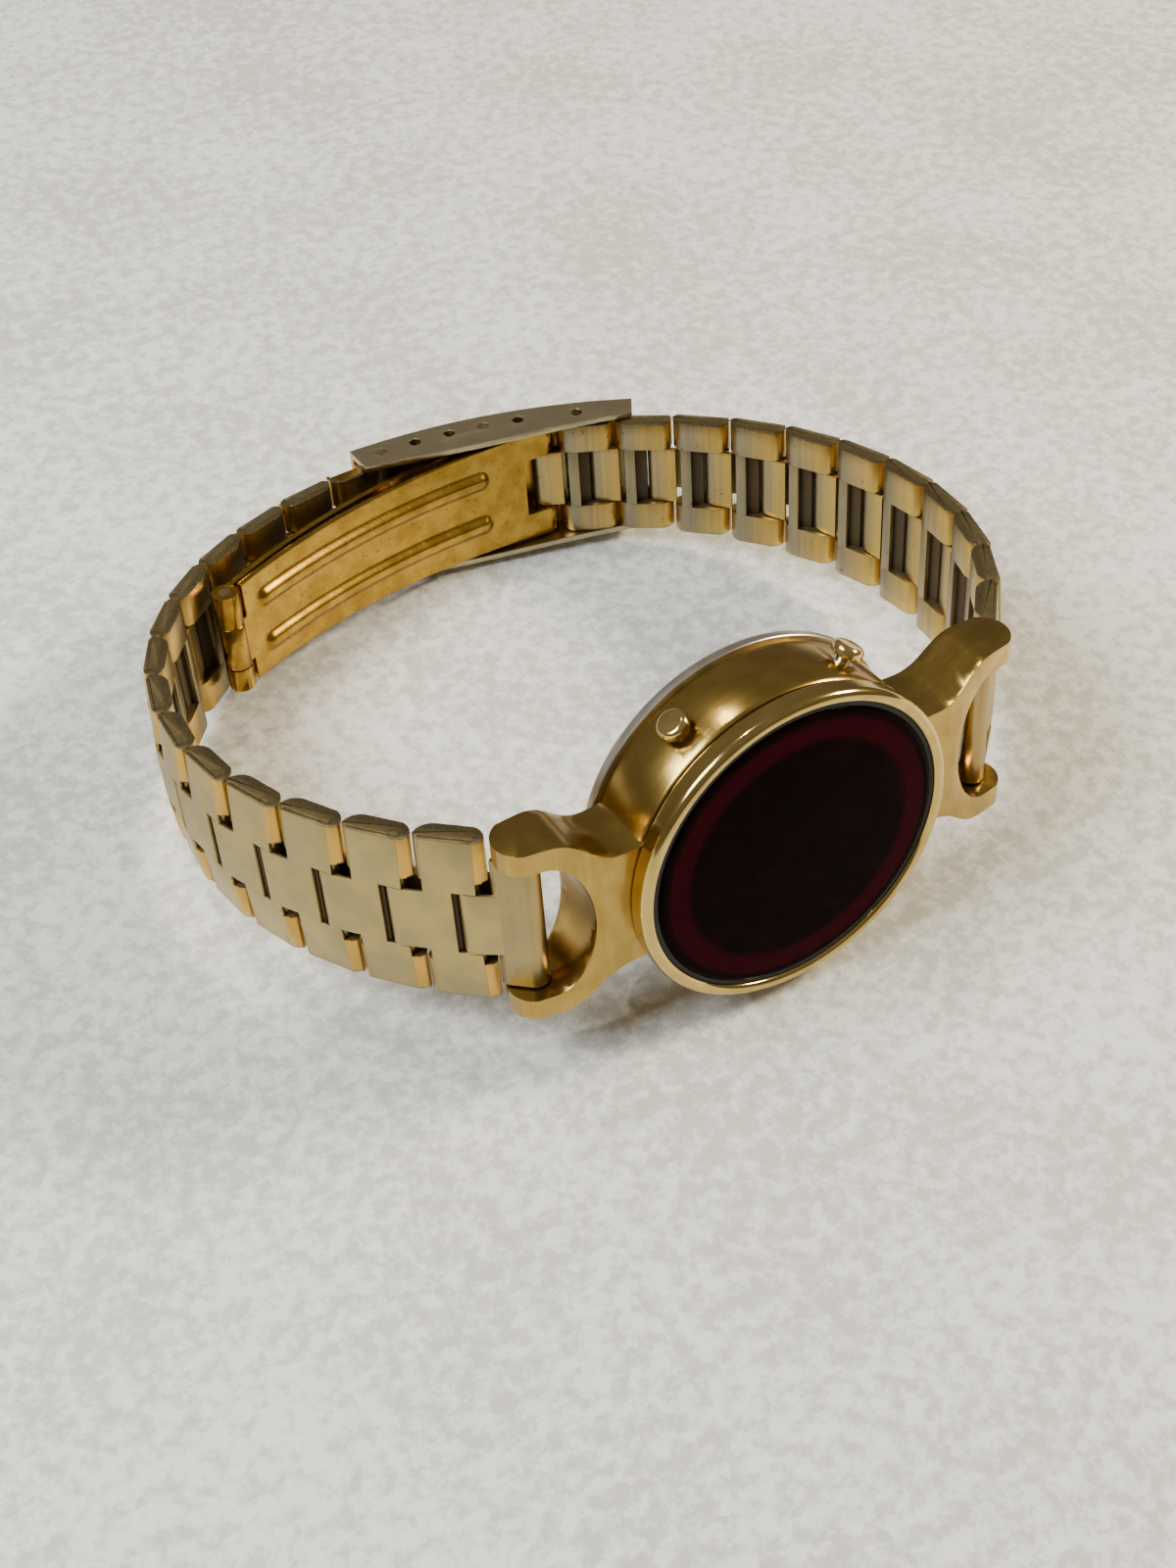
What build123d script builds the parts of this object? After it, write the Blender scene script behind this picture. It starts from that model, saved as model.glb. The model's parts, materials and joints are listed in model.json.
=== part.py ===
# A lady's wrist watch with a dark round display and a folded-link bracelet, closed and lying on its side:
# the case stands on the lower edge of its rim, and the clasp side of the bracelet rests on the table.
# Watch frame: x runs from lug to lug, y out of the display, and z across the bracelet to its lower edge.
from build123d import *
import math
import os

# Bracelet sizes, in millimetres
link_pitch = 5.0           # hinge pin to hinge pin
right_link_count = 11
left_link_count = 13
lug_link_pitch = 3.6       # lug bar to the first hinge pin
spring_link_pitch = 4.0    # last hinge pin to the sizing bar in the clasp cover
width_at_lug = 14.4
width_at_clasp = 10.4
link_rise = 0.75           # outer face above the hinge pin axis
link_sink = 1.15           # inner face below the hinge pin axis
link_tail = 1.15           # side block behind its own pin
block_gap = 0.15           # between neighbouring side blocks when the bracelet is straight
sheet = 0.27               # folded sheet of the centre plate
dome_drop = 0.32           # outer face falls this much toward each edge
nose_inset = 0.45
nose_drop = 0.5
nose_round = 1.3
tail_inset = 0.12
tail_drop = 0.35
tail_round = 0.9
plate_start = 1.3          # head-side end of the centre plate, past the pin
tongue_reach = 1.0         # rounded end of the tongue, past the next pin
tongue_back = 1.58         # cut edge of the flap, short of the next pin
bridge_start = 2.0
bridge_length = 0.9
bridge_sheet = 0.3
plate_clearance = 0.06
plate_share = 0.385        # half of the outer centre column as a share of the half width
channel_share = 0.52       # half of the inner opening as a share of the half width
flap_share = 0.5
bend_room = 15.0           # degrees two links can fold toward the wrist
pin_radius = 0.45
pin_play = 0.03
pin_cap = 0.4              # closed end of a pin bore

# End links and bars
lug_link_half_width = 5.62
lug_tube_radius = 1.0
lug_bar_radius = 0.6
lug_tip_radius = 0.4
lug_tip_length = 0.8
spring_link_nose = 2.3
spring_tube_radius = 0.88
spring_pocket_depth = 1.1
spring_pocket_wall = 0.3
clasp_bar_radius = 0.5
side_play = 0.12

# Loop: an ellipse through both lug bars, sized so that the chain of pins closes
lug_bar_depth = 4.6
loop_flatness_share = 0.87
loop_skew = 18.0           # degrees

# Clasp blades, along a circle that follows the inner face
blade_radius = 56.0
blade_sheet = 0.5
blade_gap = 0.15
blade_length = 32.5        # end hinge to fold hinge
blade_half_width_end = 5.12
blade_half_width_fold = 4.5
end_curl_radius = 0.93
notch_back = 2.15
fold_pin_radius = 0.52
fold_curl_radius = 1.05
fold_top_share = 0.33
fold_bottom_share = 0.22
fold_relief = 1.2
curl_lap_share = 0.7
rib_length = 24.0
rib_start = 5.7
rib_width = 1.5
rib_height = 0.35
rib_place = 2.15
cover_joint_place = 4.6    # cover hinge short of the end hinge
cover_joint_depth = 2.3
cover_curl_radius = 0.93

# Clasp cover
cover_radius = 46.0
cover_lean = 13.0          # degrees against the blade
cover_wall = 0.6
cover_inner_half_width = 5.36
cover_flange = 0.5
cover_before = 11.6
cover_after = 13.2
hole_depth = 1.6
hole_step = 3.0
last_hole_place = 8.0
flange_shares = [(0.0, 0.76), (0.12, 0.86), (0.36, 1.0), (0.66, 0.9), (1.0, 0.52)]
flange_depth = 4.2

# Case
bezel_radius = 12.6
bezel_band = 1.3           # ring of the bezel and its gasket outside the lens
bezel_step = 2.0           # inward from the bezel's edge to the case bore
bezel_depth = 1.7
bezel_lip = 0.22
bezel_round = 0.55
bezel_seat = 0.35
corner_share = 0.29        # middle of a rounded corner, as a share of its radius
lens_depth = 0.35
lens_thickness = 1.0
lens_rise = 0.22
lens_bevel = 0.4
gasket_width = 0.3
case_inset = 0.2           # case wall inside the bezel's edge
groove_inset = 0.35
groove_depth = 0.4
case_depth = 7.4
case_round = 0.3
back_overhang = 0.3
back_rim = 0.9
back_depth = 9.3
back_slope = 3.1
back_wall = 0.95           # case wall outside the spigot of the back
back_spigot_height = 0.7
back_plate = 0.9
spigot_wall = 0.8
gasket_height = 0.3
lens_radius = bezel_radius - bezel_band
case_bore = bezel_radius - bezel_step
case_radius = bezel_radius - case_inset
groove_radius = case_radius - groove_inset
back_radius = case_radius + back_overhang
back_flat = back_radius - back_slope
back_spigot = case_radius - back_wall

# Lugs
lug_web = 2.7              # case wall to the opening of a lug
lug_opening = 3.6          # depth of the opening, to the lug bar
lug_straight = 0.3         # straight inner sides start this short of the bar
lug_tip_round = 1.9        # half thickness of a horn at the bar
lug_tip_reach = 2.1        # end of a horn past the bar
lug_tip_flat = 0.9         # flat of a horn past the bar
horn_inner = 5.75
horn_outer = 7.5
horn_straight = 0.6        # straight outer sides start this short of the bar
lug_neck_half = 5.0
lug_neck = 0.3             # neck past the case wall
lug_root = 2.5             # buried root inside the case wall
lug_shoulder = 1.6
lug_front_depth = 1.75
lug_end_margin = 4.0
lug_web_x = case_radius + lug_web
lug_bar_x = lug_web_x + lug_opening

# Pushers
pusher_angle = 32.0        # degrees either side of the bracelet's edge direction
pusher_depth = 4.6
stem_radius = 0.5
stem_margin = 0.28         # inner end of the stem outside the case bore
tube_radius = 0.8
tube_play = 0.03
seal_radius = 0.66
seal_height = 0.3
button_radius = 1.15
button_gap = 0.5
button_height = 0.85
button_round = 0.4

# Module inside the case
module_play = 0.05
module_wall = 0.7
module_radius = case_bore - module_play
module_front = 2.6
module_back = 7.4
board_front = 2.3
board_thickness = 0.7
display_length = 8.0
display_height = 3.4
display_front = 1.55
display_base = 0.3
digit_count = 4
digit_length = 1.3
digit_height = 2.2
digit_step = 1.8
chip_length = 5.2
chip_width = 4.4
chip_height = 0.9
crystal_length = 5.0
crystal_place = 6.0
chip_place = 6.0
crystal_radius = 0.6
cell_radius = 3.95
cell_height = 3.6
cell_place = 4.75
cell_drop = 3.3
contact_sheet = 0.2
contact_length = 15.0
contact_width = 5.0
contact_finger = 1.0
switch_length = 2.4
switch_width = 1.2
switch_recess = 0.35


def half_width(share):
    """Half width of the bracelet, share 0 at the lugs and 1 from the last link but one to the clasp."""
    return (width_at_lug + (width_at_clasp - width_at_lug) * min(share, 1)) / 2


# The closed loop
def blade_point(place, depth):
    """Point of the clasp: place along the inner blade from its end, depth outward from its inner face."""
    angle = place / blade_radius
    reach = blade_radius + depth
    return (reach * math.sin(angle), -reach * math.cos(angle))


end_hinge = blade_point(0, link_sink)
cover_hinge = blade_point(-cover_joint_place, cover_joint_depth)
fold_depth = blade_sheet + blade_gap / 2
fold_hinge = blade_point(-blade_length, fold_depth)
cover_turn = math.radians(cover_lean) - cover_joint_place / blade_radius
hole_reach = cover_radius - hole_depth
cover_centre_x = cover_hinge[0] - hole_reach * math.sin(cover_turn)
cover_centre_y = cover_hinge[1] + hole_reach * math.cos(cover_turn)


def cover_point(place, depth):
    """Point of the cover: place along its outer wall from the cover hinge, depth inward from the wall."""
    angle = cover_turn + place / cover_radius
    reach = cover_radius - depth
    return (cover_centre_x + reach * math.sin(angle), cover_centre_y - reach * math.cos(angle))


def hole_point(place):
    """Centre of a flange hole, place measured along the row of holes."""
    return cover_point(place * cover_radius / hole_reach, hole_depth)


hole_places = [-3 * hole_step, -2 * hole_step, -hole_step, 0, hole_step, last_hole_place]
sizing_bar = hole_point(hole_places[0])


def loop_pins():
    """Pin centres from the right lug bar round to the left lug bar, on an ellipse that closes the chain."""
    chain = [lug_link_pitch] + [link_pitch] * right_link_count + [math.dist(end_hinge, sizing_bar)]
    chain += [spring_link_pitch] + [link_pitch] * left_link_count + [lug_link_pitch]
    turn_cos = math.cos(math.radians(loop_skew))
    turn_sin = math.sin(math.radians(loop_skew))

    def to_circle(x, y):
        return (turn_cos * x + turn_sin * y, (turn_cos * y - turn_sin * x) / loop_flatness_share)

    def from_circle(u, v):
        flat = v * loop_flatness_share
        return (turn_cos * u - turn_sin * flat, turn_sin * u + turn_cos * flat)

    right = to_circle(lug_bar_x, -lug_bar_depth)
    left = to_circle(-lug_bar_x, -lug_bar_depth)
    span = math.dist(right, left)

    def walk(size):
        rise = math.sqrt(size * size - span * span / 4)
        centre_u = (right[0] + left[0]) / 2 + (right[1] - left[1]) / span * rise
        centre_v = (right[1] + left[1]) / 2 - (right[0] - left[0]) / span * rise
        turn = math.atan2(right[1] - centre_v, right[0] - centre_u)
        goal = math.atan2(left[1] - centre_v, left[0] - centre_u) - 2 * math.pi

        def point(angle):
            return from_circle(centre_u + size * math.cos(angle), centre_v + size * math.sin(angle))

        pins = [point(turn)]
        for reach in chain:
            step = reach / size
            for _ in range(20):
                step *= reach / math.dist(point(turn - step), point(turn))
            turn -= step
            pins.append(point(turn))
        return turn - goal, pins

    low = sum(chain) / math.pi * 0.4
    high = sum(chain) / math.pi
    for _ in range(50):
        size = (low + high) / 2
        if walk(size)[0] < 0:
            low = size
        else:
            high = size
    return walk(size)[1]


pins = loop_pins()
end_pin = right_link_count + 1
sizing_pin = end_pin + 1
last_pin = len(pins) - 1


def heading(start, finish):
    return math.atan2(finish[1] - start[1], finish[0] - start[0])


clasp_turn = heading(pins[end_pin], pins[sizing_pin]) - heading(end_hinge, sizing_bar)


def clasp_to_watch(point):
    """A point of the clasp's plane in the watch frame."""
    x = point[0] - end_hinge[0]
    y = point[1] - end_hinge[1]
    turned_x = math.cos(clasp_turn) * x - math.sin(clasp_turn) * y
    turned_y = math.sin(clasp_turn) * x + math.cos(clasp_turn) * y
    return (pins[end_pin][0] + turned_x, pins[end_pin][1] + turned_y)


clasp_origin = clasp_to_watch((0, 0))
clasp_place = Location((clasp_origin[0], clasp_origin[1], 0), (0, 0, math.degrees(clasp_turn)))


def link_place(number, step):
    """Place of a link by the number of its own pin; step is 1 in the right half and -1 in the left."""
    start = pins[number]
    finish = pins[number + step]
    direction = (finish[0] - start[0], finish[1] - start[1], 0)
    return Plane(origin=(start[0], start[1], 0), x_dir=direction, z_dir=(0, 0, step)).location


# Small helpers
def slab(x_start, x_end, y_start, y_end, half_z):
    """A block centred on the bracelet's middle plane."""
    block = Box(x_end - x_start, y_end - y_start, 2 * half_z)
    return Pos((x_start + x_end) / 2, (y_start + y_end) / 2, 0) * block


def rod(radius, half_length, point=(0, 0)):
    return Pos(point[0], point[1], 0) * Cylinder(radius, 2 * half_length)


def tube(outer, inner, low, high, point):
    ring = Circle(outer) - Circle(inner)
    return Pos(point[0], point[1], low) * extrude(ring, high - low)


def both_sides(face, inner, outer):
    """The face drawn out from inner to outer on both sides of the middle plane."""
    upper = Pos(0, 0, inner) * extrude(face, outer - inner)
    return upper + mirror(upper, Plane.XY)


# Bracelet links
def block_face(nose):
    """D-shaped section of a side block: flat outside, rounded toward the wrist."""
    tail = -link_tail
    nose_start = (nose, link_rise - nose_drop)
    nose_end = (nose - nose_round, -link_sink)
    nose_height = link_rise - nose_drop + link_sink
    nose_middle = (nose - nose_round * corner_share, -link_sink + nose_height * corner_share)
    tail_start = (tail + tail_round, -link_sink)
    tail_end = (tail, link_rise - tail_drop)
    tail_height = link_rise - tail_drop + link_sink
    tail_middle = (tail + tail_round * corner_share, -link_sink + tail_height * corner_share)
    top = Polyline(tail_end, (tail + tail_inset, link_rise), (nose - nose_inset, link_rise), nose_start)
    front = ThreePointArc(nose_start, nose_middle, nose_end)
    base = Line(nose_end, tail_start)
    back = ThreePointArc(tail_start, tail_middle, tail_end)
    return make_face([top, front, base, back])


def dome(half, start, end):
    """Space under the outer face, which falls away toward both edges of the bracelet."""
    middle = half * plate_share
    outline = Polyline(
        (-half, -2 * link_sink), (-half, link_rise - dome_drop), (-middle, link_rise),
        (middle, link_rise), (half, link_rise - dome_drop), (half, -2 * link_sink), close=True)
    profile = Plane(origin=(start, 0, 0), x_dir=(0, 0, -1), z_dir=(1, 0, 0)) * make_face(outline)
    return extrude(profile, end - start)


def tongue(pin, half_next):
    """Folded-under end of a centre plate: a flat tube open toward its own link, round the next pin."""
    bend = tongue_reach - link_rise
    inside = link_rise - sheet
    outline = Polyline((pin + bend, link_rise), (pin - tongue_back, link_rise), (pin - tongue_back, inside))
    inner_top = Line((pin - tongue_back, inside), (pin + bend, inside))
    inner_bend = ThreePointArc((pin + bend, inside), (pin + bend + inside, 0), (pin + bend, -inside))
    cut = pin - tongue_back
    flap_points = [(pin + bend, -inside), (cut, -inside), (cut, -link_rise), (pin + bend, -link_rise)]
    inner_flap = Polyline(*flap_points)
    outer_bend = ThreePointArc((pin + bend, -link_rise), (pin + tongue_reach, 0), (pin + bend, link_rise))
    face = make_face([outline, inner_top, inner_bend, inner_flap, outer_bend])
    flap = half_next * flap_share
    plate = half_next * plate_share - plate_clearance
    solid = Pos(0, 0, -flap) * extrude(face, 2 * flap)
    shelf = inside - plate_clearance
    reach = 2 * tongue_back
    fall = reach * math.tan(math.radians(bend_room))
    high = 2 * link_rise
    room = Polyline((pin - reach, shelf), (pin, shelf), (pin + reach, shelf - fall), (pin + reach, high),
                    (pin - reach, high), close=True)
    return solid - both_sides(make_face(room), plate, flap + link_rise)


def link(half, half_next):
    """One bracelet link: two side blocks, the bridge between them and the centre plate with its tongue."""
    nose = link_pitch - link_tail - block_gap
    channel = half * channel_share
    plate = half * plate_share
    layer = link_rise - sheet
    body = both_sides(block_face(nose), channel, half)
    body += slab(tail_inset - link_tail, nose - nose_inset, layer, link_rise, channel)
    body -= slab(-2 * link_tail, plate_start, -link_rise, 2 * link_rise, plate)
    body &= dome(half, -2 * link_tail, link_pitch)
    body += slab(bridge_start, bridge_start + bridge_length, -link_sink, bridge_sheet - link_sink, channel)
    plate_next = half_next * plate_share - plate_clearance
    body += slab(plate_start, link_pitch - tongue_back, layer, link_rise, plate_next)
    body += tongue(link_pitch, half_next)
    body -= rod(pin_radius, half - pin_cap)
    return body


def hinge_pin(half):
    return rod(pin_radius, half - pin_cap)


def lug_link(half_next):
    """End link between the horns of a lug: a plate rolled round the lug bar, with a tongue."""
    nose = lug_link_pitch - link_tail - block_gap
    layer = link_rise - sheet
    front = [(nose - nose_inset, link_rise), (nose, layer), (nose - tail_inset, 0)]
    under = [(nose - nose_round, -link_rise), (0, -lug_tube_radius)]
    outline = Polyline((0, lug_tube_radius), *front, *under, close=True)
    face = make_face(outline) + Circle(lug_tube_radius)
    body = Pos(0, 0, -lug_link_half_width) * extrude(face, 2 * lug_link_half_width)
    body += slab(nose - nose_inset - tail_inset, lug_link_pitch - tongue_back, layer, link_rise,
                 half_next * plate_share - plate_clearance)
    body += tongue(lug_link_pitch, half_next)
    body -= rod(lug_bar_radius + pin_play, 2 * lug_link_half_width)
    return body


def spring_link(half):
    """Hollow end link that joins the left half of the bracelet to the sizing bar in the clasp cover."""
    channel = half * channel_share
    layer = link_rise - sheet
    body = both_sides(block_face(spring_link_nose), channel, half)
    wall = 2 * spring_pocket_wall
    pocket = offset(block_face(spring_link_nose), -spring_pocket_wall)
    body -= both_sides(pocket, half - spring_pocket_depth, half + wall)
    body &= dome(half, -2 * link_tail, link_pitch)
    body += slab(plate_start, spring_link_pitch, layer, link_rise, channel + plate_clearance)
    tube_half = half - side_play
    body += slab(spring_link_nose - nose_inset - tail_inset, spring_link_pitch, layer, link_rise, tube_half)
    body += rod(spring_tube_radius, tube_half, (spring_link_pitch, 0))
    body -= rod(clasp_bar_radius + pin_play, 2 * half, (spring_link_pitch, 0))
    body -= rod(pin_radius, half - spring_pocket_depth - spring_pocket_wall)
    return body


# Clasp
def ring_strip(near, far):
    """Face between two arcs, each given by three points."""
    sides = [Line(near[2], far[2]), Line(far[0], near[0])]
    return make_face([ThreePointArc(*near), sides[0], ThreePointArc(*far[::-1]), sides[1]])


def band(place_start, place_end, inner, outer):
    """Curved strip section; inner and outer give the depths at its start and end."""
    middle = (place_start + place_end) / 2

    def edge(depths):
        middle_depth = (depths[0] + depths[1]) / 2
        start = blade_point(place_start, depths[0])
        end = blade_point(place_end, depths[1])
        return [start, blade_point(middle, middle_depth), end]

    return ring_strip(edge(inner), edge(outer))


def blade_plan():
    """Plan outline of both blades, narrower toward the fold."""
    fold_x = fold_hinge[0] - fold_relief
    end_x = end_curl_radius + link_rise
    outline = Polyline((fold_x, -blade_half_width_fold), (end_x, -blade_half_width_end),
                       (end_x, blade_half_width_end), (fold_x, blade_half_width_fold), close=True)
    prism = extrude(Plane.XZ * make_face(outline), 2 * blade_radius)
    return prism


def knuckle_bounds():
    """Heights that part the three knuckles of the fold hinge."""
    top = blade_half_width_fold
    return (-top + 2 * top * fold_top_share, top - 2 * top * fold_bottom_share)


def clear_box(low, high, place_start, place_end):
    """Room cut out of a blade between two heights."""
    start = blade_point(place_start, 0)
    end = blade_point(place_end, 0)
    depth = 2 * fold_relief + blade_length / 4
    block = Box(abs(end[0] - start[0]), 2 * depth, high - low)
    return Pos((start[0] + end[0]) / 2, start[1], (low + high) / 2) * block


def rib(height):
    """A long pressed rib on the inner blade."""
    start = -rib_start - rib_length
    face = band(start, -rib_start, (-rib_height, -rib_height), (blade_gap, blade_gap))
    body = Pos(0, 0, height - rib_width / 2) * extrude(face, rib_width)
    first = blade_point(start, 0)[0]
    last = blade_point(-rib_start, 0)[0]
    plan = Plane.XZ * Pos((first + last) / 2, height) * SlotOverall(last - first, rib_width)
    return body & extrude(plan, 2 * blade_radius)


def inner_blade():
    low, high = knuckle_bounds()
    notch = width_at_clasp / 2 * channel_share
    relief = -blade_length + fold_relief
    beyond = -blade_length - 2 * fold_relief
    curl_start = -blade_length + fold_curl_radius * curl_lap_share
    face = band(curl_start, 0, (0, 0), (blade_sheet, blade_sheet))
    body = Pos(0, 0, -blade_half_width_end) * extrude(face, 2 * blade_half_width_end)
    body &= blade_plan()
    body += tube(end_curl_radius, pin_radius, -blade_half_width_end, blade_half_width_end, end_hinge)
    body -= clear_box(-notch, notch, -notch_back, 2 * end_curl_radius)
    body -= clear_box(-blade_half_width_end, low, beyond, relief)
    body -= clear_box(high, blade_half_width_end, beyond, relief)
    body += tube(fold_curl_radius, fold_pin_radius, low + pin_play, high - pin_play, fold_hinge)
    body -= rod(fold_pin_radius, blade_half_width_end, fold_hinge)
    body -= rod(pin_radius, 2 * blade_half_width_end, end_hinge)
    return body + rib(rib_place) + rib(-rib_place)


def middle_blade():
    low, high = knuckle_bounds()
    near = blade_sheet + blade_gap
    far = cover_joint_depth - cover_curl_radius
    relief = -blade_length + fold_relief
    beyond = -blade_length - 2 * fold_relief
    curl_start = -blade_length + fold_curl_radius * curl_lap_share
    face = band(curl_start, -cover_joint_place, (near, far), (near + blade_sheet, far + blade_sheet))
    body = Pos(0, 0, -blade_half_width_end) * extrude(face, 2 * blade_half_width_end)
    body &= blade_plan()
    body -= clear_box(low - pin_play, high + pin_play, beyond, relief)
    top = blade_half_width_fold
    body += tube(fold_curl_radius, fold_pin_radius, high + pin_play, top, fold_hinge)
    body += tube(fold_curl_radius, fold_pin_radius, -top, low - pin_play, fold_hinge)
    body += rod(cover_curl_radius, blade_half_width_end - side_play, cover_hinge)
    body -= rod(fold_pin_radius + pin_play, 2 * top, fold_hinge)
    body -= rod(clasp_bar_radius + pin_play, 2 * top, cover_hinge)
    return body


def clasp_cover():
    """Curved channel that closes over the clasp, with six holes in each flange."""
    length = cover_before + cover_after
    edge = []
    for place_share, depth_share in flange_shares:
        edge.append(cover_point(place_share * length - cover_before, depth_share * flange_depth))
    wall_start = cover_point(-cover_before, 0)
    wall_end = cover_point(cover_after, 0)
    outer = ThreePointArc(wall_start, cover_point((cover_after - cover_before) / 2, 0), wall_end)
    face = make_face([outer, Line(wall_end, edge[-1]), Spline(*edge[::-1]), Line(edge[0], wall_start)])
    outside = cover_inner_half_width + cover_flange
    body = Pos(0, 0, -outside) * extrude(face, 2 * outside)
    start = -cover_before - cover_wall
    end = cover_after + cover_wall
    deep = 2 * flange_depth
    near = [cover_point(place, cover_wall) for place in (start, (start + end) / 2, end)]
    far = [cover_point(place, deep) for place in (start, (start + end) / 2, end)]
    body -= Pos(0, 0, -cover_inner_half_width) * extrude(ring_strip(near, far), 2 * cover_inner_half_width)
    for place in hole_places:
        body -= rod(clasp_bar_radius, 2 * outside, hole_point(place))
    return body


# Case and what is in it
def disc(front, back, radius, bore=0):
    """A disc or ring about the display's axis; front and back are depths behind the front of the bezel."""
    face = Circle(radius)
    if bore:
        face -= Circle(bore)
    return extrude(Plane.XZ.offset(front) * face, back - front)


def turned(points):
    """A body of revolution from (radius, depth) points."""
    outline = Polyline([(radius, -depth) for radius, depth in points], close=True)
    return revolve(make_face(outline), Axis.Y)


def bezel():
    bore = lens_radius + gasket_width
    crown = bezel_radius - bezel_round
    corner = bezel_round * corner_share
    return turned([
        (bore, lens_depth), (bore + bezel_lip, bezel_lip / 2), (crown, 0), (bezel_radius - corner, corner),
        (bezel_radius, bezel_round), (bezel_radius, bezel_depth - bezel_lip),
        (bezel_radius - bezel_lip, bezel_depth),
        (case_bore, bezel_depth), (case_bore, bezel_depth - bezel_seat), (bore, bezel_depth - bezel_seat)])


def lens():
    """Flat lens that stands a little proud of its seat, with a bevelled rim."""
    front = lens_depth - lens_rise
    back = lens_depth + lens_thickness
    flat = lens_radius - lens_bevel
    return turned([(0, front), (flat, front), (lens_radius, lens_depth), (lens_radius, back), (0, back)])


def lug_plan():
    """Front outline of a lug: a narrow neck that flares into two horns."""
    tip_x = lug_bar_x + lug_tip_reach
    flare = (lug_bar_x - horn_straight, horn_outer)
    neck = (case_radius + lug_neck, lug_neck_half)
    root = (case_radius - lug_root, lug_neck_half)
    upper = Spline(flare, neck, tangents=((-1, 0), (-1, 0)))
    lower = Spline((neck[0], -neck[1]), (flare[0], -flare[1]), tangents=((1, 0), (1, 0)))
    end = Polyline((flare[0], -flare[1]), (tip_x, -horn_outer), (tip_x, horn_outer), flare)
    back = Polyline(neck, root, (root[0], -root[1]), (neck[0], -neck[1]))
    return make_face([upper, back, lower, end])


def lug_side():
    """Side outline of a lug: flush with the case in front and behind, rounded at the end of the horns."""
    root_x = case_radius - lug_root
    flat_x = lug_bar_x + lug_tip_flat
    top = (flat_x, lug_tip_round - lug_bar_depth)
    bottom = (flat_x, -lug_tip_round - lug_bar_depth)
    sides = Polyline(bottom, (root_x, case_round - case_depth), (root_x, -lug_front_depth),
                     (case_radius + lug_shoulder, -lug_front_depth), top)
    return make_face([sides, ThreePointArc(top, (lug_bar_x + lug_tip_reach, -lug_bar_depth), bottom)])


def lug(side):
    """Stirrup lug: two horns and the web that joins them to the case."""
    body = extrude(Plane.XZ * lug_plan(), case_depth)
    body &= Pos(0, 0, -horn_outer) * extrude(lug_side(), 2 * horn_outer)
    straight_x = lug_bar_x - lug_straight
    opening = Pos(straight_x, 0) * Ellipse(straight_x - lug_web_x, horn_inner)
    room_end = lug_bar_x + lug_tip_reach + lug_end_margin
    opening += Pos((straight_x + room_end) / 2, 0) * Rectangle(room_end - straight_x, 2 * horn_inner)
    body -= extrude(Plane.XZ * opening, 2 * case_depth)
    body -= rod(lug_tip_radius, horn_inner + lug_tip_length, (lug_bar_x, -lug_bar_depth))
    return body if side > 0 else mirror(body, Plane.YZ)


def pusher_place(side):
    """Frame of a pusher: its z axis runs outward through the case wall."""
    angle = math.radians(pusher_angle) * side
    direction = (math.sin(angle), 0, -math.cos(angle))
    return Plane(origin=(0, -pusher_depth, 0), x_dir=(0, 1, 0), z_dir=direction).location


def case_body():
    """Case wall with both lugs, bored for the module, the back and the pusher tubes."""
    shoulder = bezel_depth + groove_depth
    body = turned([
        (0, bezel_depth), (groove_radius, bezel_depth), (groove_radius, shoulder),
        (case_radius - case_round / 2, shoulder), (case_radius, shoulder + case_round),
        (case_radius, case_depth - case_round), (case_radius - case_round, case_depth), (0, case_depth)])
    body += lug(1)
    body += lug(-1)
    body -= disc(0, case_depth + case_round, case_bore)
    body -= disc(case_depth - back_spigot_height - gasket_height, case_depth + case_round, back_spigot)
    reach = 2 * (case_radius - case_bore)
    for side in (1, -1):
        body -= pusher_place(side) * Pos(0, 0, case_bore) * Cylinder(tube_radius, reach)
    return body


def case_back():
    rim_back = case_depth + back_rim
    bore = back_spigot - spigot_wall
    return turned([
        (0, back_depth), (back_flat, back_depth), (back_flat + case_round, back_depth - case_round / 2),
        (back_radius - case_round, rim_back),
        (back_radius, rim_back - case_round), (back_radius, case_depth), (back_spigot, case_depth),
        (back_spigot, case_depth - back_spigot_height), (bore, case_depth - back_spigot_height),
        (bore, case_depth + back_rim / 2), (back_flat, back_depth - back_plate),
        (0, back_depth - back_plate)])


def pusher_tube(side):
    body = Cylinder(tube_radius, case_radius - case_bore) - Cylinder(stem_radius + tube_play, case_radius)
    body -= Cylinder(seal_radius, seal_height)
    return pusher_place(side) * Pos(0, 0, (case_radius + case_bore) / 2) * body


def pusher_seal(side):
    body = Cylinder(seal_radius, seal_height) - Cylinder(stem_radius + tube_play / 2, seal_height)
    return pusher_place(side) * Pos(0, 0, (case_radius + case_bore) / 2) * body


def pusher(side):
    """Domed button on a stem that reaches through its tube."""
    base = case_radius + button_gap
    crown = base + button_height
    inner_end = case_bore + stem_margin
    corner = button_round * corner_share
    outline = Polyline((0, inner_end), (stem_radius, inner_end), (stem_radius, base), (button_radius, base),
                       (button_radius, crown - button_round), (button_radius - corner, crown - corner),
                       (button_radius - button_round, crown), (0, crown), close=True)
    body = revolve(Plane.XZ * make_face(outline), Axis.Z)
    return pusher_place(side) * body


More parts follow.
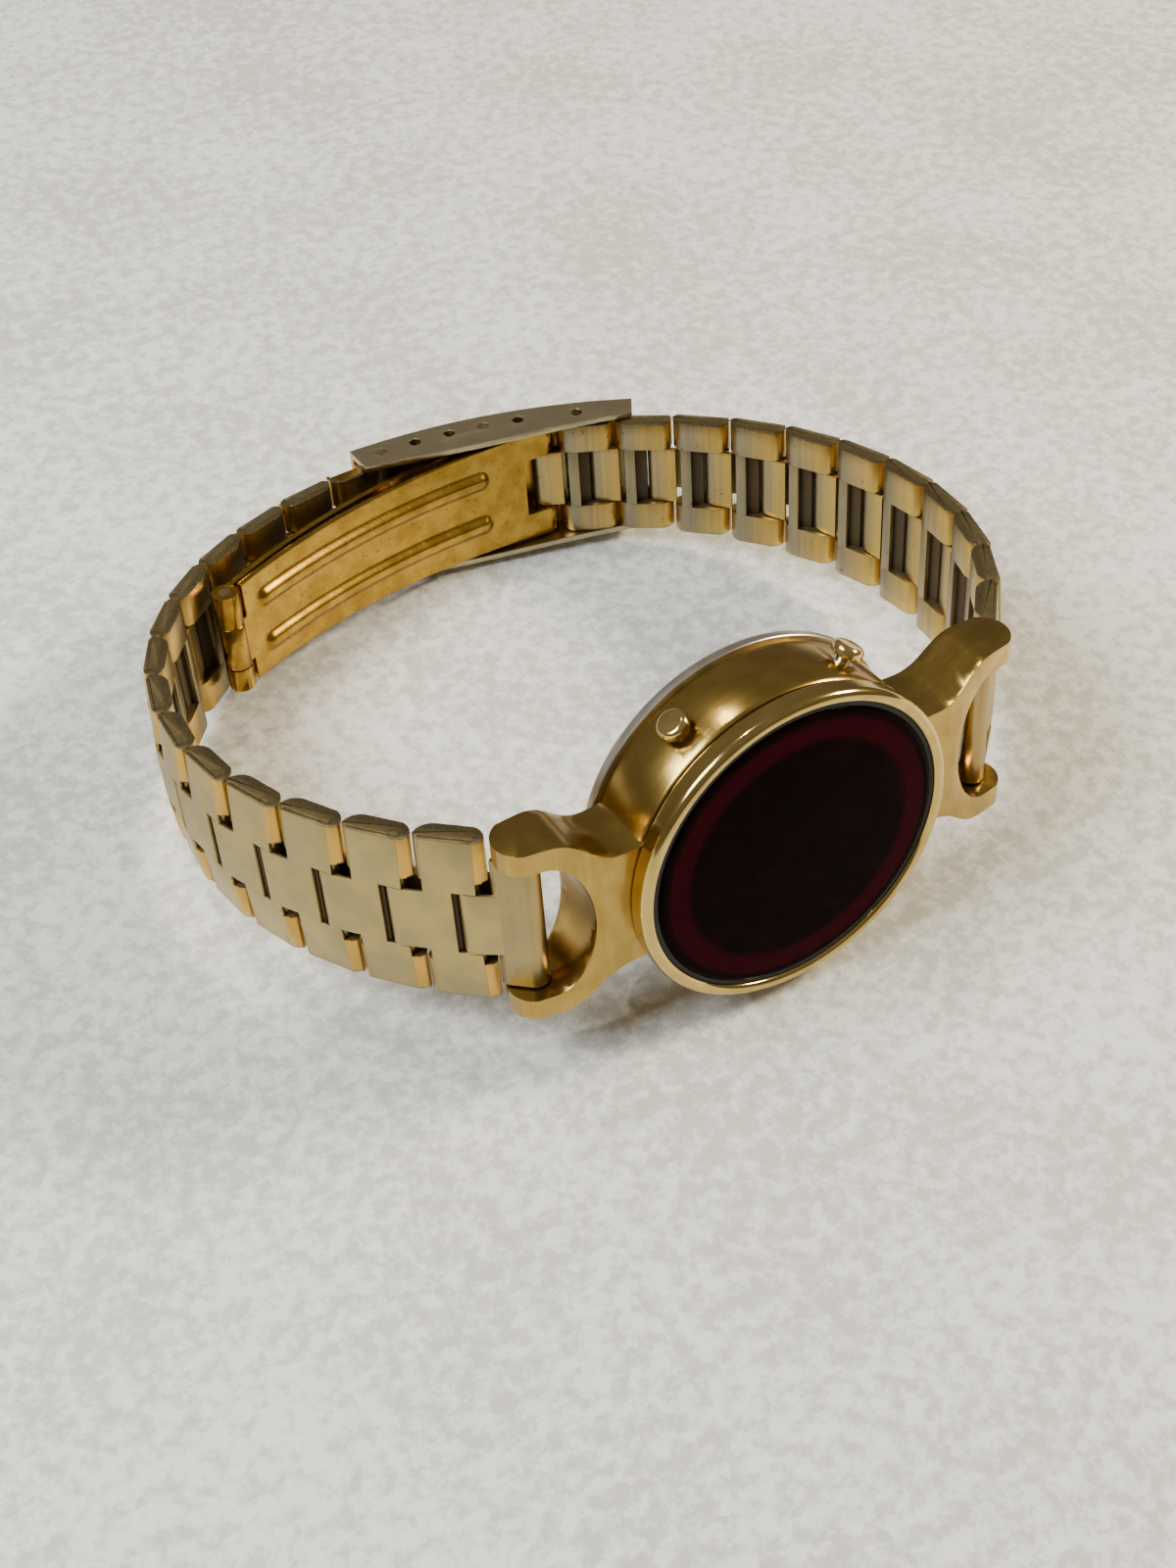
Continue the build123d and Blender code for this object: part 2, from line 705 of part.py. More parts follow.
def module_frame():
    """Moulded cup that carries the board in front and the two cells behind."""
    floor = board_front + board_thickness + chip_height
    body = disc(module_front, module_back, module_radius)
    body -= disc(board_front, floor, module_radius - module_wall)
    crystal_room = Box(crystal_length + pin_play, 2 * crystal_radius, 2 * crystal_radius)
    body -= Pos(0, -floor, -crystal_place) * crystal_room
    for side in (1, -1):
        pocket = Plane.XZ.offset(cell_drop) * Pos(side * cell_place, 0) * Circle(cell_radius + pin_play)
        body -= extrude(pocket, module_back)
        recess = Box(switch_width, switch_length, 2 * switch_recess)
        body -= pusher_place(side) * Pos(0, 0, module_radius) * recess
    return body


def board():
    return disc(board_front, board_front + board_thickness, module_radius - module_wall - pin_play)


def display():
    end = display_length / 2
    base = slab(-end, end, -board_front, -display_front - display_base, display_height / 2)
    for number in range(digit_count):
        x = (number - (digit_count - 1) / 2) * digit_step
        half = digit_length / 2
        base += slab(x - half, x + half, -board_front, -display_front, digit_height / 2)
    return base


def chip():
    back = board_front + board_thickness
    end = chip_length / 2
    return Pos(0, 0, chip_place) * slab(-end, end, -back - chip_height, -back, chip_width / 2)


def crystal():
    back = board_front + board_thickness + crystal_radius
    can = Rot(0, 90, 0) * Cylinder(crystal_radius, crystal_length)
    return Pos(0, -back, -crystal_place) * can


def cell(side):
    top = module_back - cell_height
    body = disc(top, module_back, cell_radius)
    return Pos(side * cell_place, 0, 0) * body


def contact_plate():
    """Sprung strip that joins both cells and presses against the back."""
    end = contact_length / 2
    body = slab(-end, end, -module_back - contact_sheet, -module_back, contact_width / 2)
    for side in (1, -1):
        foot = side * cell_place - contact_finger / 2
        body += slab(foot, foot + contact_finger, back_plate - back_depth, -module_back, contact_finger / 2)
    return body


def switch_leaf(side):
    body = Box(switch_width, switch_length, contact_sheet)
    return pusher_place(side) * Pos(0, 0, module_radius - switch_recess + contact_sheet / 2) * body


# Assembly in the watch frame
def watch_parts():
    """Every piece by name, in the watch frame."""
    made = {}
    made["case_body"] = case_body()
    made["bezel"] = bezel()
    made["lens"] = lens()
    gasket_radius = lens_radius + gasket_width
    made["lens_gasket"] = disc(lens_depth, bezel_depth - bezel_seat, gasket_radius, lens_radius)
    made["case_back"] = case_back()
    gasket_back = case_depth - back_spigot_height
    made["back_gasket"] = disc(gasket_back - gasket_height, gasket_back, back_spigot, case_bore)
    made["module_frame"] = module_frame()
    made["circuit_board"] = board()
    made["display"] = display()
    made["driver_chip"] = chip()
    made["quartz_crystal"] = crystal()
    made["cell_right"] = cell(1)
    made["cell_left"] = cell(-1)
    made["cell_contact"] = contact_plate()
    for side, name in ((1, "right"), (-1, "left")):
        made["pusher_" + name] = pusher(side)
        made["pusher_tube_" + name] = pusher_tube(side)
        made["pusher_seal_" + name] = pusher_seal(side)
        made["switch_leaf_" + name] = switch_leaf(side)
    bar_tip = horn_inner + lug_tip_length
    bar = rod(lug_bar_radius, lug_link_half_width) + rod(lug_tip_radius, bar_tip)
    made["lug_bar_right"] = Pos(lug_bar_x, -lug_bar_depth, 0) * bar
    tips = rod(lug_tip_radius, bar_tip) - rod(2 * lug_tip_radius, horn_inner)
    made["lug_bar_tips_left"] = Pos(-lug_bar_x, -lug_bar_depth, 0) * tips
    made["lug_bar_left"] = link_place(last_pin, -1) * rod(lug_bar_radius, lug_link_half_width)

    made["end_link_right"] = link_place(0, 1) * lug_link(half_width(0))
    made["end_link_left"] = link_place(last_pin, -1) * lug_link(half_width(0))
    halves = ((right_link_count, 1, 0, "link_right"), (left_link_count, -1, last_pin, "link_left"))
    for count, step, first, name in halves:
        for number in range(1, count + 1):
            half = half_width((number - 1) / (count - 2))
            half_next = half_width(number / (count - 2))
            solids = [link(half, half_next).solid(), hinge_pin(half).solid()]
            place = link_place(first + step * number, step)
            made["%s_%02d" % (name, number)] = place * Compound(solids)
    made["spring_link"] = link_place(sizing_pin + 1, -1) * spring_link(half_width(1))
    pin_half = half_width(1) - spring_pocket_depth - spring_pocket_wall
    made["spring_link_pin"] = link_place(sizing_pin + 1, -1) * rod(pin_radius, pin_half)

    outside = cover_inner_half_width + cover_flange
    made["inner_blade"] = clasp_place * inner_blade()
    made["inner_blade_end_pin"] = clasp_place * rod(pin_radius, blade_half_width_end, end_hinge)
    made["fold_pin"] = clasp_place * rod(fold_pin_radius, blade_half_width_fold, fold_hinge)
    made["middle_blade"] = clasp_place * middle_blade()
    made["clasp_cover"] = clasp_place * clasp_cover()
    made["cover_pin"] = clasp_place * rod(clasp_bar_radius, outside, hole_point(hole_places[3]))
    made["sizing_bar"] = clasp_place * rod(clasp_bar_radius, outside, hole_point(hole_places[0]))
    return made


# Resting on the table
def resting_tilt():
    """Tilt that sets the back rim of the case and the lowest edge of the clasp cover on the table."""
    before_shares = (-1.0, -0.8, -0.6, -0.4, -0.2, 0)
    far = min(clasp_to_watch(cover_point(share * cover_before, 0))[1] for share in before_shares)
    cover_low = cover_inner_half_width + cover_flange
    rim_y = -case_depth - back_rim + case_round
    return math.degrees(math.atan2(back_radius - cover_low, rim_y - far))


tilt = resting_tilt()
half_turn = 180.0
tilted = Location((0, 0, 0), (half_turn - tilt, 0, 0))


def place_on_table(parts):
    """Turn the pushers' edge up and the display to the front, and stand the watch on z = 0."""
    turned_parts = {name: tilted * shape for name, shape in parts.items()}
    box = Compound(list(turned_parts.values())).bounding_box()
    shift = Location((-(box.min.X + box.max.X) / 2, -(box.min.Y + box.max.Y) / 2, -box.min.Z))
    return {name: shift * shape for name, shape in turned_parts.items()}, shift


parts, table_shift = place_on_table(watch_parts())
os.makedirs("parts", exist_ok=True)
for name, shape in parts.items():
    shape.label = name
    export_step(shape, "parts/" + name + ".step")
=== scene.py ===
import json
import math

import bmesh
import bpy
from mathutils import Matrix, Vector


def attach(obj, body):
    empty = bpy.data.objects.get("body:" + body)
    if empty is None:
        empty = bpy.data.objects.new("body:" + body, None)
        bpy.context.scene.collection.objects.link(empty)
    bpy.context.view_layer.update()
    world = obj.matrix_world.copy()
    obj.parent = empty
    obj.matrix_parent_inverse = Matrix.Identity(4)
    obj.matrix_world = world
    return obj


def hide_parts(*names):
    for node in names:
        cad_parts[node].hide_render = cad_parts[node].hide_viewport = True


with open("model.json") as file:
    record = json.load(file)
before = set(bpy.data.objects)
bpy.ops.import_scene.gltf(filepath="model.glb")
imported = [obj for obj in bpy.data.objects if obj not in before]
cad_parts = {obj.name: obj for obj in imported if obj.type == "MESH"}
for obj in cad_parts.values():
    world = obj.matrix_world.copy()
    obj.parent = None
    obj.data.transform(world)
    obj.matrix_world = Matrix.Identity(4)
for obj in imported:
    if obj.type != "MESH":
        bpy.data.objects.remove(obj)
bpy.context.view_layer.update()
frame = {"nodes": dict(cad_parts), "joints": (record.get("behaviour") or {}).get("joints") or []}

# Camera. The watch is seen from the front and above, a little from its left and from close by, so
# the bracelet falls away behind the case. Place and lens were solved from the outline of the watch.
photo_height = 1600.0
focal_pixels = 2142.0
sensor_height = 32.0
eye = Vector((-0.05997, -0.09918, 0.1223))
look = Vector((0.35709, 0.57307, -0.73761)).normalized()
up = Vector((0.37113, 0.63762, 0.67506))
side = look.cross(up).normalized()
up = side.cross(look)
camera = bpy.data.objects.new("camera", bpy.data.cameras.new("camera"))
bpy.context.scene.collection.objects.link(camera)
bpy.context.scene.camera = camera
camera.matrix_world = Matrix((
    (side.x, up.x, -look.x, eye.x),
    (side.y, up.y, -look.y, eye.y),
    (side.z, up.z, -look.z, eye.z),
    (0, 0, 0, 1)))
camera.data.sensor_fit = "VERTICAL"
camera.data.sensor_height = sensor_height
camera.data.lens = sensor_height * focal_pixels / photo_height
camera.data.clip_start = 0.001


# Studio. A wide cool window on the left gives the main light and a smaller warm lamp stands to the
# right, with a small bright lamp behind. The room round them is a dim warm grey, lighter above.
class Wire:
    """A node socket that takes part in arithmetic; each sum adds its Math node."""

    def __init__(self, tree, socket=None):
        self.tree = tree
        self.socket = socket

    def node(self, kind, settings, values, out=0):
        """Adds a node of a type: its settings first, then the values or links of its sockets."""
        made = self.tree.nodes.new(kind)
        for name, value in settings.items():
            setattr(made, name, value)
        for name, value in values.items():
            for link in value if isinstance(value, list) else [value]:
                if isinstance(link, Wire):
                    self.tree.links.new(link.socket, made.inputs[name])
                elif isinstance(link, tuple) and len(made.inputs[name].default_value) == 4:
                    made.inputs[name].default_value = (*link, 1)
                else:
                    made.inputs[name].default_value = link
        return Wire(self.tree, made.outputs[out])

    def out(self, name):
        """Another output of the same node."""
        return Wire(self.tree, self.socket.node.outputs[name])

    def maths(self, operation, *values):
        """Math node over values and wires of this tree."""
        return self.node("ShaderNodeMath", {"operation": operation}, dict(enumerate(values)))

    def ramp(self, low, high, start=0.0, end=1.0):
        """Rises smoothly from start to end as the value goes from low to high."""
        values = {0: self, 1: low, 2: high, 3: start, 4: end}
        return self.node("ShaderNodeMapRange", {"interpolation_type": "SMOOTHSTEP"}, values)

    def mix(self, first, second):
        """Colour between two others, with this value as the share of the second."""
        return self.node("ShaderNodeMix", {"data_type": "RGBA"}, {0: self, 6: first, 7: second}, 2)

    def noise(self, scale, detail=2.0, roughness=0.5):
        """Noise over this vector."""
        return self.node("ShaderNodeTexNoise", {}, {
            "Vector": self, "Scale": scale, "Detail": detail, "Roughness": roughness})

    def __add__(self, other):
        return self.maths("ADD", self, other)

    def __sub__(self, other):
        return self.maths("SUBTRACT", self, other)

    def __rsub__(self, other):
        return self.maths("SUBTRACT", other, self)

    def __mul__(self, other):
        return self.maths("MULTIPLY", self, other)

    def __truediv__(self, other):
        return self.maths("DIVIDE", self, other)

    def __rtruediv__(self, other):
        return self.maths("DIVIDE", other, self)

    def __gt__(self, other):
        return self.maths("GREATER_THAN", self, other)

    def __lt__(self, other):
        return self.maths("LESS_THAN", self, other)

    def __abs__(self):
        return self.maths("ABSOLUTE", self)

    __radd__ = __add__
    __rmul__ = __mul__


def softbox(name, power, width, height, place, colour):
    """A rectangular light turned to the watch: power in watts, size and place in metres."""
    light = bpy.data.lights.new(name, "AREA")
    light.shape = "RECTANGLE"
    light.size = width
    light.size_y = height
    light.energy = power
    light.color = colour
    lamp = bpy.data.objects.new(name, light)
    bpy.context.scene.collection.objects.link(lamp)
    lamp.location = place
    lamp.rotation_euler = (-Vector(place)).to_track_quat("-Z", "Y").to_euler()


softbox("window", power=4.6, width=0.3, height=0.24, place=(-0.38, 0.06, 0.44), colour=(0.92, 0.97, 1.0))
softbox("lamp", power=4.0, width=0.14, height=0.1, place=(0.44, -0.10, 0.32), colour=(1.0, 0.87, 0.62))
softbox("small_lamp", power=0.5, width=0.02, height=0.02, place=(-0.06, 0.2, 0.5), colour=(1.0, 0.93, 0.8))
room_low = (0.24, 0.205, 0.165)
room_high = (0.33, 0.31, 0.27)
room_strength = 0.75
world = bpy.data.worlds.new("room")
bpy.context.scene.world = world
world.use_nodes = True
room = Wire(world.node_tree)
heading = room.node("ShaderNodeTexCoord", {}, {}, "Generated")
height = room.node("ShaderNodeSeparateXYZ", {}, {0: heading}, "Z")
sky = height.ramp(-0.1, 0.9).mix(room_low, room_high)
background = world.node_tree.nodes["Background"]
room.tree.links.new(sky.socket, background.inputs["Color"])
background.inputs["Strength"].default_value = room_strength


# Table top. A plain pale laminate with a faint mottle. The watch stands on it on the lower edge of
# the rim of its case and on the clasp side of its bracelet.
def start_finish(name, roughness, metallic):
    """A new material, with the wire that its nodes start from."""
    material = bpy.data.materials.new(name)
    material.use_nodes = True
    shader = material.node_tree.nodes["Principled BSDF"]
    shader.inputs["Roughness"].default_value = roughness
    shader.inputs["Metallic"].default_value = metallic
    return material, Wire(material.node_tree)


def end_finish(wire, **values):
    """Links colour, roughness and so on to the shader; relief is a height in millimetres."""
    shader = wire.tree.nodes["Principled BSDF"]
    relief = values.pop("relief", None)
    if relief is not None:
        bump = wire.node("ShaderNodeBump", {}, {"Strength": 1.0, "Distance": 0.001, "Height": relief})
        wire.tree.links.new(bump.socket, shader.inputs["Normal"])
    for name, value in values.items():
        wire.tree.links.new(value.socket, shader.inputs[name.replace("_", " ").title()])


table_reach = 0.6
laminate_dull = (0.56, 0.55, 0.51)
laminate_pale = (0.82, 0.815, 0.79)
table_mesh = bpy.data.meshes.new("table_top")
table_mesh.from_pydata([(-table_reach, -table_reach, 0), (table_reach, -table_reach, 0),
                        (table_reach, table_reach, 0), (-table_reach, table_reach, 0)], [], [(0, 1, 2, 3)])
table_top = bpy.data.objects.new("table_top", table_mesh)
bpy.context.scene.collection.objects.link(table_top)
table_finish, wire = start_finish("table_laminate", roughness=0.45, metallic=0.0)
place = wire.node("ShaderNodeTexCoord", {}, {}, "Object")
mottle = place.noise(700.0, 7.0, 0.7)
cloud = place.noise(60.0, 4.0)
shade = (mottle * 0.75 + cloud * 0.25).ramp(0.42, 0.58)
end_finish(wire, base_color=shade.mix(laminate_dull, laminate_pale), relief=mottle * 0.05)
table_mesh.materials.append(table_finish)


# Bracelet links. Each is a gold-plated steel sheet folded from one blank: two ears, and a centre strip
# that wraps the next hinge pin. Under the ears lie two solid side blocks with a bridge between them.
link_pitch = 5.0
link_rise = 0.75           # outer face from the plane of the pins
link_sink = 1.15           # inner face from the same plane
link_tail = 1.15           # side blocks behind their own pin
block_gap = 0.15           # between side blocks when the bracelet is straight
nose_round = 1.3
sheet = 0.27
skin = 0.02                # seat of a block under the sheet
plate_start = 1.3          # slot that the strip of the link before lies in
ears_end = 3.25
right_ears_start = -1.03
left_ears_start = -0.4
tongue_reach = 1.0         # rounded end of the strip, past the next pin
tongue_back = 1.58         # cut edge of the flap, short of that pin
flap_turn = 76.0           # degrees round the tongue from which the strip is as wide as the flap
strip_play = 0.06
plate_share = 0.385        # half of the outer slot, of the link's half width
channel_share = 0.52       # half of the opening between the blocks
flap_share = 0.5
half_at_lug = 7.2
half_at_clasp = 5.2
dome_drop = 0.32
bridge_start = 2.0
bridge_end = 2.9
bridge_top = -0.85
bridge_lap = 0.1
web_front = 1.6
web_back = 1.06
web_top = 0.47
web_low = -0.3
pin_radius = 0.45
pin_cap = 0.4
left_seed = 20             # wear numbers of the left half start here

# The watch's own frame, in millimetres: x from lug to lug, y out of the display, z across the bracelet
# to its lower edge. It leans as the watch rests on the table, and lies in the middle of its box.
resting_tilt = 8.0818763   # degrees
rest_x = 1.9963517
rest_y = -27.3707313
rest_z = 13.6985706
lean_sine = math.sin(math.radians(resting_tilt))
lean_cosine = math.cos(math.radians(resting_tilt))
watch_place = Matrix.Scale(0.001, 4) @ Matrix((
    (1, 0, 0, rest_x),
    (0, -lean_cosine, -lean_sine, rest_y),
    (0, lean_sine, -lean_cosine, rest_z),
    (0, 0, 0, 1)))
joints = {joint["name"]: joint for joint in frame["joints"]}


def tree_of(name, sizes):
    """An empty geometry tree with a named input for each size, and the wire of its geometry input."""
    tree = bpy.data.node_groups.new(name, "GeometryNodeTree")
    tree.interface.new_socket("Geometry", in_out="INPUT", socket_type="NodeSocketGeometry")
    for size in sizes:
        tree.interface.new_socket(size, in_out="INPUT", socket_type="NodeSocketFloat")
    tree.interface.new_socket("Finish", in_out="INPUT", socket_type="NodeSocketMaterial")
    tree.interface.new_socket("Geometry", in_out="OUTPUT", socket_type="NodeSocketGeometry")
    return Wire(tree, tree.nodes.new("NodeGroupInput").outputs[0])


def end_tree(start, geometry):
    """Realizes the result, gives it its finish and sends it out."""
    real = start.node("GeometryNodeRealizeInstances", {}, {0: geometry})
    done = start.node("GeometryNodeSetMaterial", {}, {"Geometry": real, "Material": start.out("Finish")})
    start.tree.links.new(done.socket, start.tree.nodes.new("NodeGroupOutput").inputs[0])


def vector(start, **parts):
    """Vector with the named parts, and zero for the others."""
    return start.node("ShaderNodeCombineXYZ", {}, parts)


def position(start):
    """Place of each point, as x, y and z."""
    point = start.node("GeometryNodeInputPosition", {}, {})
    parts = start.node("ShaderNodeSeparateXYZ", {}, {0: point})
    return parts.out("X"), parts.out("Y"), parts.out("Z")


def joined(start, parts, merge=0.002):
    """Several shapes as one, with their common points merged."""
    both = start.node("GeometryNodeJoinGeometry", {}, {0: parts})
    return start.node("GeometryNodeMergeByDistance", {}, {"Geometry": both, "Distance": merge})


def mirrored(start, geometry):
    """The geometry and its copy on the other side of the bracelet's middle plane."""
    other = start.node("GeometryNodeTransform", {}, {"Geometry": geometry, "Scale": (1, 1, -1)})
    other = start.node("GeometryNodeFlipFaces", {}, {"Mesh": other})
    return joined(start, [geometry, other])


def drawn_across_tree():
    """Draws a flat section out across the bracelet, and lets its outer face fall toward the edges."""
    start = tree_of("drawn_across", (
        "Inner distance", "Outer distance", "Dome start", "Dome end", "Dome drop"))
    inner = start.out("Inner distance")
    base = start.node("GeometryNodeSetPosition", {}, {"Geometry": start, "Offset": vector(start, Z=inner)})
    solid = start.node("GeometryNodeExtrudeMesh", {"mode": "FACES"}, {
        "Mesh": base, "Offset": vector(start, Z=1.0), "Offset Scale": start.out("Outer distance") - inner,
        "Individual": False})
    back = start.node("GeometryNodeFlipFaces", {}, {"Mesh": base})
    solid = joined(start, [solid, back])
    _, y, z = position(start)
    fall = start.node("ShaderNodeMapRange", {}, {
        0: abs(z), 1: start.out("Dome start"), 2: start.out("Dome end"), 3: 0.0, 4: start.out("Dome drop")})
    outer_side = y > 0.2
    fall = 0 - fall * outer_side
    solid = start.node("GeometryNodeSetPosition", {}, {"Geometry": solid, "Offset": vector(start, Y=fall)})
    switch = start.node("GeometryNodeSwitch", {"input_type": "GEOMETRY"}, {
        "Switch": inner > 0.0, "False": solid, "True": mirrored(start, solid)})
    end_tree(start, switch)
    return start.tree


def folded_sheet_tree():
    """Widens the line of a folded strip into its blank: ears, strip and flap, with the slot cut out."""
    start = tree_of("folded_sheet", (
        "Centre half", "Ear start", "Flap half", "Half width", "Slot end", "Ears end", "Flap start",
        "Dome drop"))
    outward = vector(start, Z=1.0)
    reached = 0.0
    blank = start
    chosen = True
    for size in ("Centre half", "Ear start", "Flap half", "Half width"):
        blank = start.node("GeometryNodeExtrudeMesh", {"mode": "EDGES"}, {
            "Mesh": blank, "Selection": chosen, "Offset": outward, "Offset Scale": start.out(size) - reached})
        chosen = blank.out("Top")
        reached = start.out(size)
    along = start.node("GeometryNodeInputNamedAttribute", {"data_type": "FLOAT"}, {"Name": "along"})
    _, _, across = position(start)
    slot = (along < start.out("Slot end")) * (across < start.out("Ear start"))
    strip = (along > start.out("Ears end")) * (across > start.out("Centre half"))
    strip = strip * (along < start.out("Flap start"))
    flap = (along > start.out("Flap start")) * (across > start.out("Flap half"))
    cut = start.node("GeometryNodeDeleteGeometry", {"domain": "FACE"}, {
        "Geometry": blank, "Selection": (slot + strip + flap) > 0.5})
    fall = start.node("ShaderNodeMapRange", {}, {
        0: across, 1: start.out("Ear start"), 2: start.out("Half width"), 3: 0.0, 4: start.out("Dome drop")})
    ears = along < start.out("Ears end") + 0.06
    fall = 0 - fall * ears
    bent = start.node("GeometryNodeSetPosition", {}, {"Geometry": cut, "Offset": vector(start, Y=fall)})
    end_tree(start, mirrored(start, bent))
    return start.tree


def shaped(base, tree, sizes, modifiers):
    """Plain mesh that a tree with its named sizes, and the modifiers after it, make of a base mesh."""
    blank = bpy.data.objects.new("blank", base)
    bpy.context.scene.collection.objects.link(blank)
    if tree:
        maker = blank.modifiers.new("maker", "NODES")
        maker.node_group = tree
        for item in tree.interface.items_tree:
            if item.in_out == "INPUT" and item.name in sizes:
                maker[item.identifier] = sizes[item.name]
    for kind, settings in modifiers:
        modifier = blank.modifiers.new(kind.lower(), kind)
        for name, value in settings.items():
            setattr(modifier, name, value)
    graph = bpy.context.evaluated_depsgraph_get()
    made = bpy.data.meshes.new_from_object(blank.evaluated_get(graph))
    bpy.data.objects.remove(blank)
    return made


def softened(width, angle=38.0, segments=2):
    """Bevel that takes the sharpness off the edges that turn by more than an angle."""
    return ("BEVEL", {"width": width, "segments": segments, "limit_method": "ANGLE",
                      "angle_limit": math.radians(angle), "use_clamp_overlap": True})


def arc(start, middle, end, steps=8):
    """Points of the arc through three points, without its start."""
    (ax, ay), (bx, by), (cx, cy) = start, middle, end
    turn = 2 * (ax * (by - cy) + bx * (cy - ay) + cx * (ay - by))
    a, b, c = ax * ax + ay * ay, bx * bx + by * by, cx * cx + cy * cy
    x = (a * (by - cy) + b * (cy - ay) + c * (ay - by)) / turn
    y = (a * (cx - bx) + b * (ax - cx) + c * (bx - ax)) / turn
    first = math.atan2(ay - y, ax - x)
    past = (math.atan2(by - y, bx - x) - first) % (2 * math.pi)
    sweep = (math.atan2(cy - y, cx - x) - first) % (2 * math.pi)
    if past > sweep:
        sweep -= 2 * math.pi
    size = math.hypot(ax - x, ay - y)
    turns = [first + sweep * step / steps for step in range(1, steps + 1)]
    return [(x + size * math.cos(turn), y + size * math.sin(turn)) for turn in turns]


def outline(points):
    """Flat face with the given corners."""
    mesh = bpy.data.meshes.new("section")
    mesh.from_pydata([(x, y, 0) for x, y in points], [], [tuple(range(len(points)))])
    return mesh


def circle(radius, steps=32):
    """Flat round face about the origin."""
    turns = [2 * math.pi * step / steps for step in range(steps)]
    return outline([(radius * math.cos(turn), radius * math.sin(turn)) for turn in turns])


def block_section(nose, ears_start):
    """Side block under the ears: up past the sheet at its sloping ends, and rounded toward the wrist."""
    top = link_rise - sheet - skin
    flush = link_rise - skin
    nose_start = (nose, 0.25)
    nose_end = (nose - nose_round, -link_sink)
    tail_start = (-0.25, -link_sink)
    tail_end = (-link_tail, 0.36)
    points = [(-1.1, top)]
    if ears_start > -1:
        tail_end = (-link_tail, 0.12)
        points = [(-1.08, 0.3), (-0.8, 0.58), (ears_start - 0.05, flush), (ears_start, link_rise - 0.01),
                  (ears_start, top)]
    points += [(ears_end, top), (ears_end, link_rise - 0.01), (ears_end + 0.05, flush), (3.52, 0.56)]
    points += [nose_start] + arc(nose_start, (nose - 0.377, -0.744), nose_end)
    points += [tail_start] + arc(tail_start, (-0.889, -0.7121), tail_end)
    return outline(points)


def strip_line(start_x, pin, steps=14):
    """Line of the folded sheet along its outer face, round the next pin and back to the flap's edge."""
    centre = pin + (tongue_reach - link_rise)
    points = [(start_x, link_rise)]
    points += [(x, link_rise) for x in (plate_start, ears_end) if start_x < x < pin - 0.5]
    points += [(centre, link_rise)]
    for step in range(1, steps + 1):
        turn = step * math.pi / steps
        points.append((centre + link_rise * math.sin(turn), link_rise * math.cos(turn)))
    points += [(pin - tongue_back, -link_rise)]
    along = [0.0]
    for first, second in zip(points, points[1:]):
        along.append(along[-1] + math.dist(first, second))
    mesh = bpy.data.meshes.new("strip_line")
    mesh.from_pydata([(x, y, 0) for x, y in points], [(n, n + 1) for n in range(len(points) - 1)], [])
    mesh.attributes.new("along", "FLOAT", "POINT").data.foreach_set("value", along)
    return mesh, along[points.index((centre, link_rise))] + link_rise * math.radians(flap_turn)


def merged(name, parts, finish, seed=0.0, sharp=26.0):
    """One piece of (mesh, place, half width) shapes, whose points keep their place and a wear number."""
    form = bmesh.new()
    local = form.verts.layers.float_vector.new("local")
    wear = form.verts.layers.float.new("wear")
    for mesh, place, half in parts:
        first = len(form.verts)
        form.from_mesh(mesh)
        form.verts.ensure_lookup_table()
        for vert in form.verts[first:]:
            vert[local] = (vert.co.x, vert.co.y, abs(vert.co.z) / half)
            vert[wear] = seed
            vert.co = place @ vert.co
    bmesh.ops.recalc_face_normals(form, faces=form.faces)
    mesh = bpy.data.meshes.new(name)
    form.to_mesh(mesh)
    form.free()
    for face in mesh.polygons:
        face.use_smooth = True
        face.material_index = 0
    mesh.set_sharp_from_angle(angle=math.radians(sharp))
    mesh.materials.clear()
    mesh.materials.append(finish)
    piece = bpy.data.objects.new(name, mesh)
    bpy.context.scene.collection.objects.link(piece)
    return piece


def fixed(piece, body, slot, *nodes):
    """Puts a finished piece on its body, in place of its nodes."""
    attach(piece, body)
    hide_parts(*nodes)


def watch_point(name):
    """Place of a hinge in the watch's own plane, in millimetres."""
    point = watch_place.inverted() @ Vector(joints[name]["pos_m"])
    return Vector((point.x, point.y, 0))


def link_place(start, finish, turn):
    """Frame of a link: x to the next pin, y outward, z across; turn is 1 on the right, -1 on the left."""
    x = (finish - start).normalized()
    z = Vector((0, 0, turn))
    y = z.cross(x)
    return watch_place @ Matrix((
        (x.x, y.x, z.x, start.x), (x.y, y.y, z.y, start.y), (x.z, y.z, z.z, start.z), (0, 0, 0, 1)))


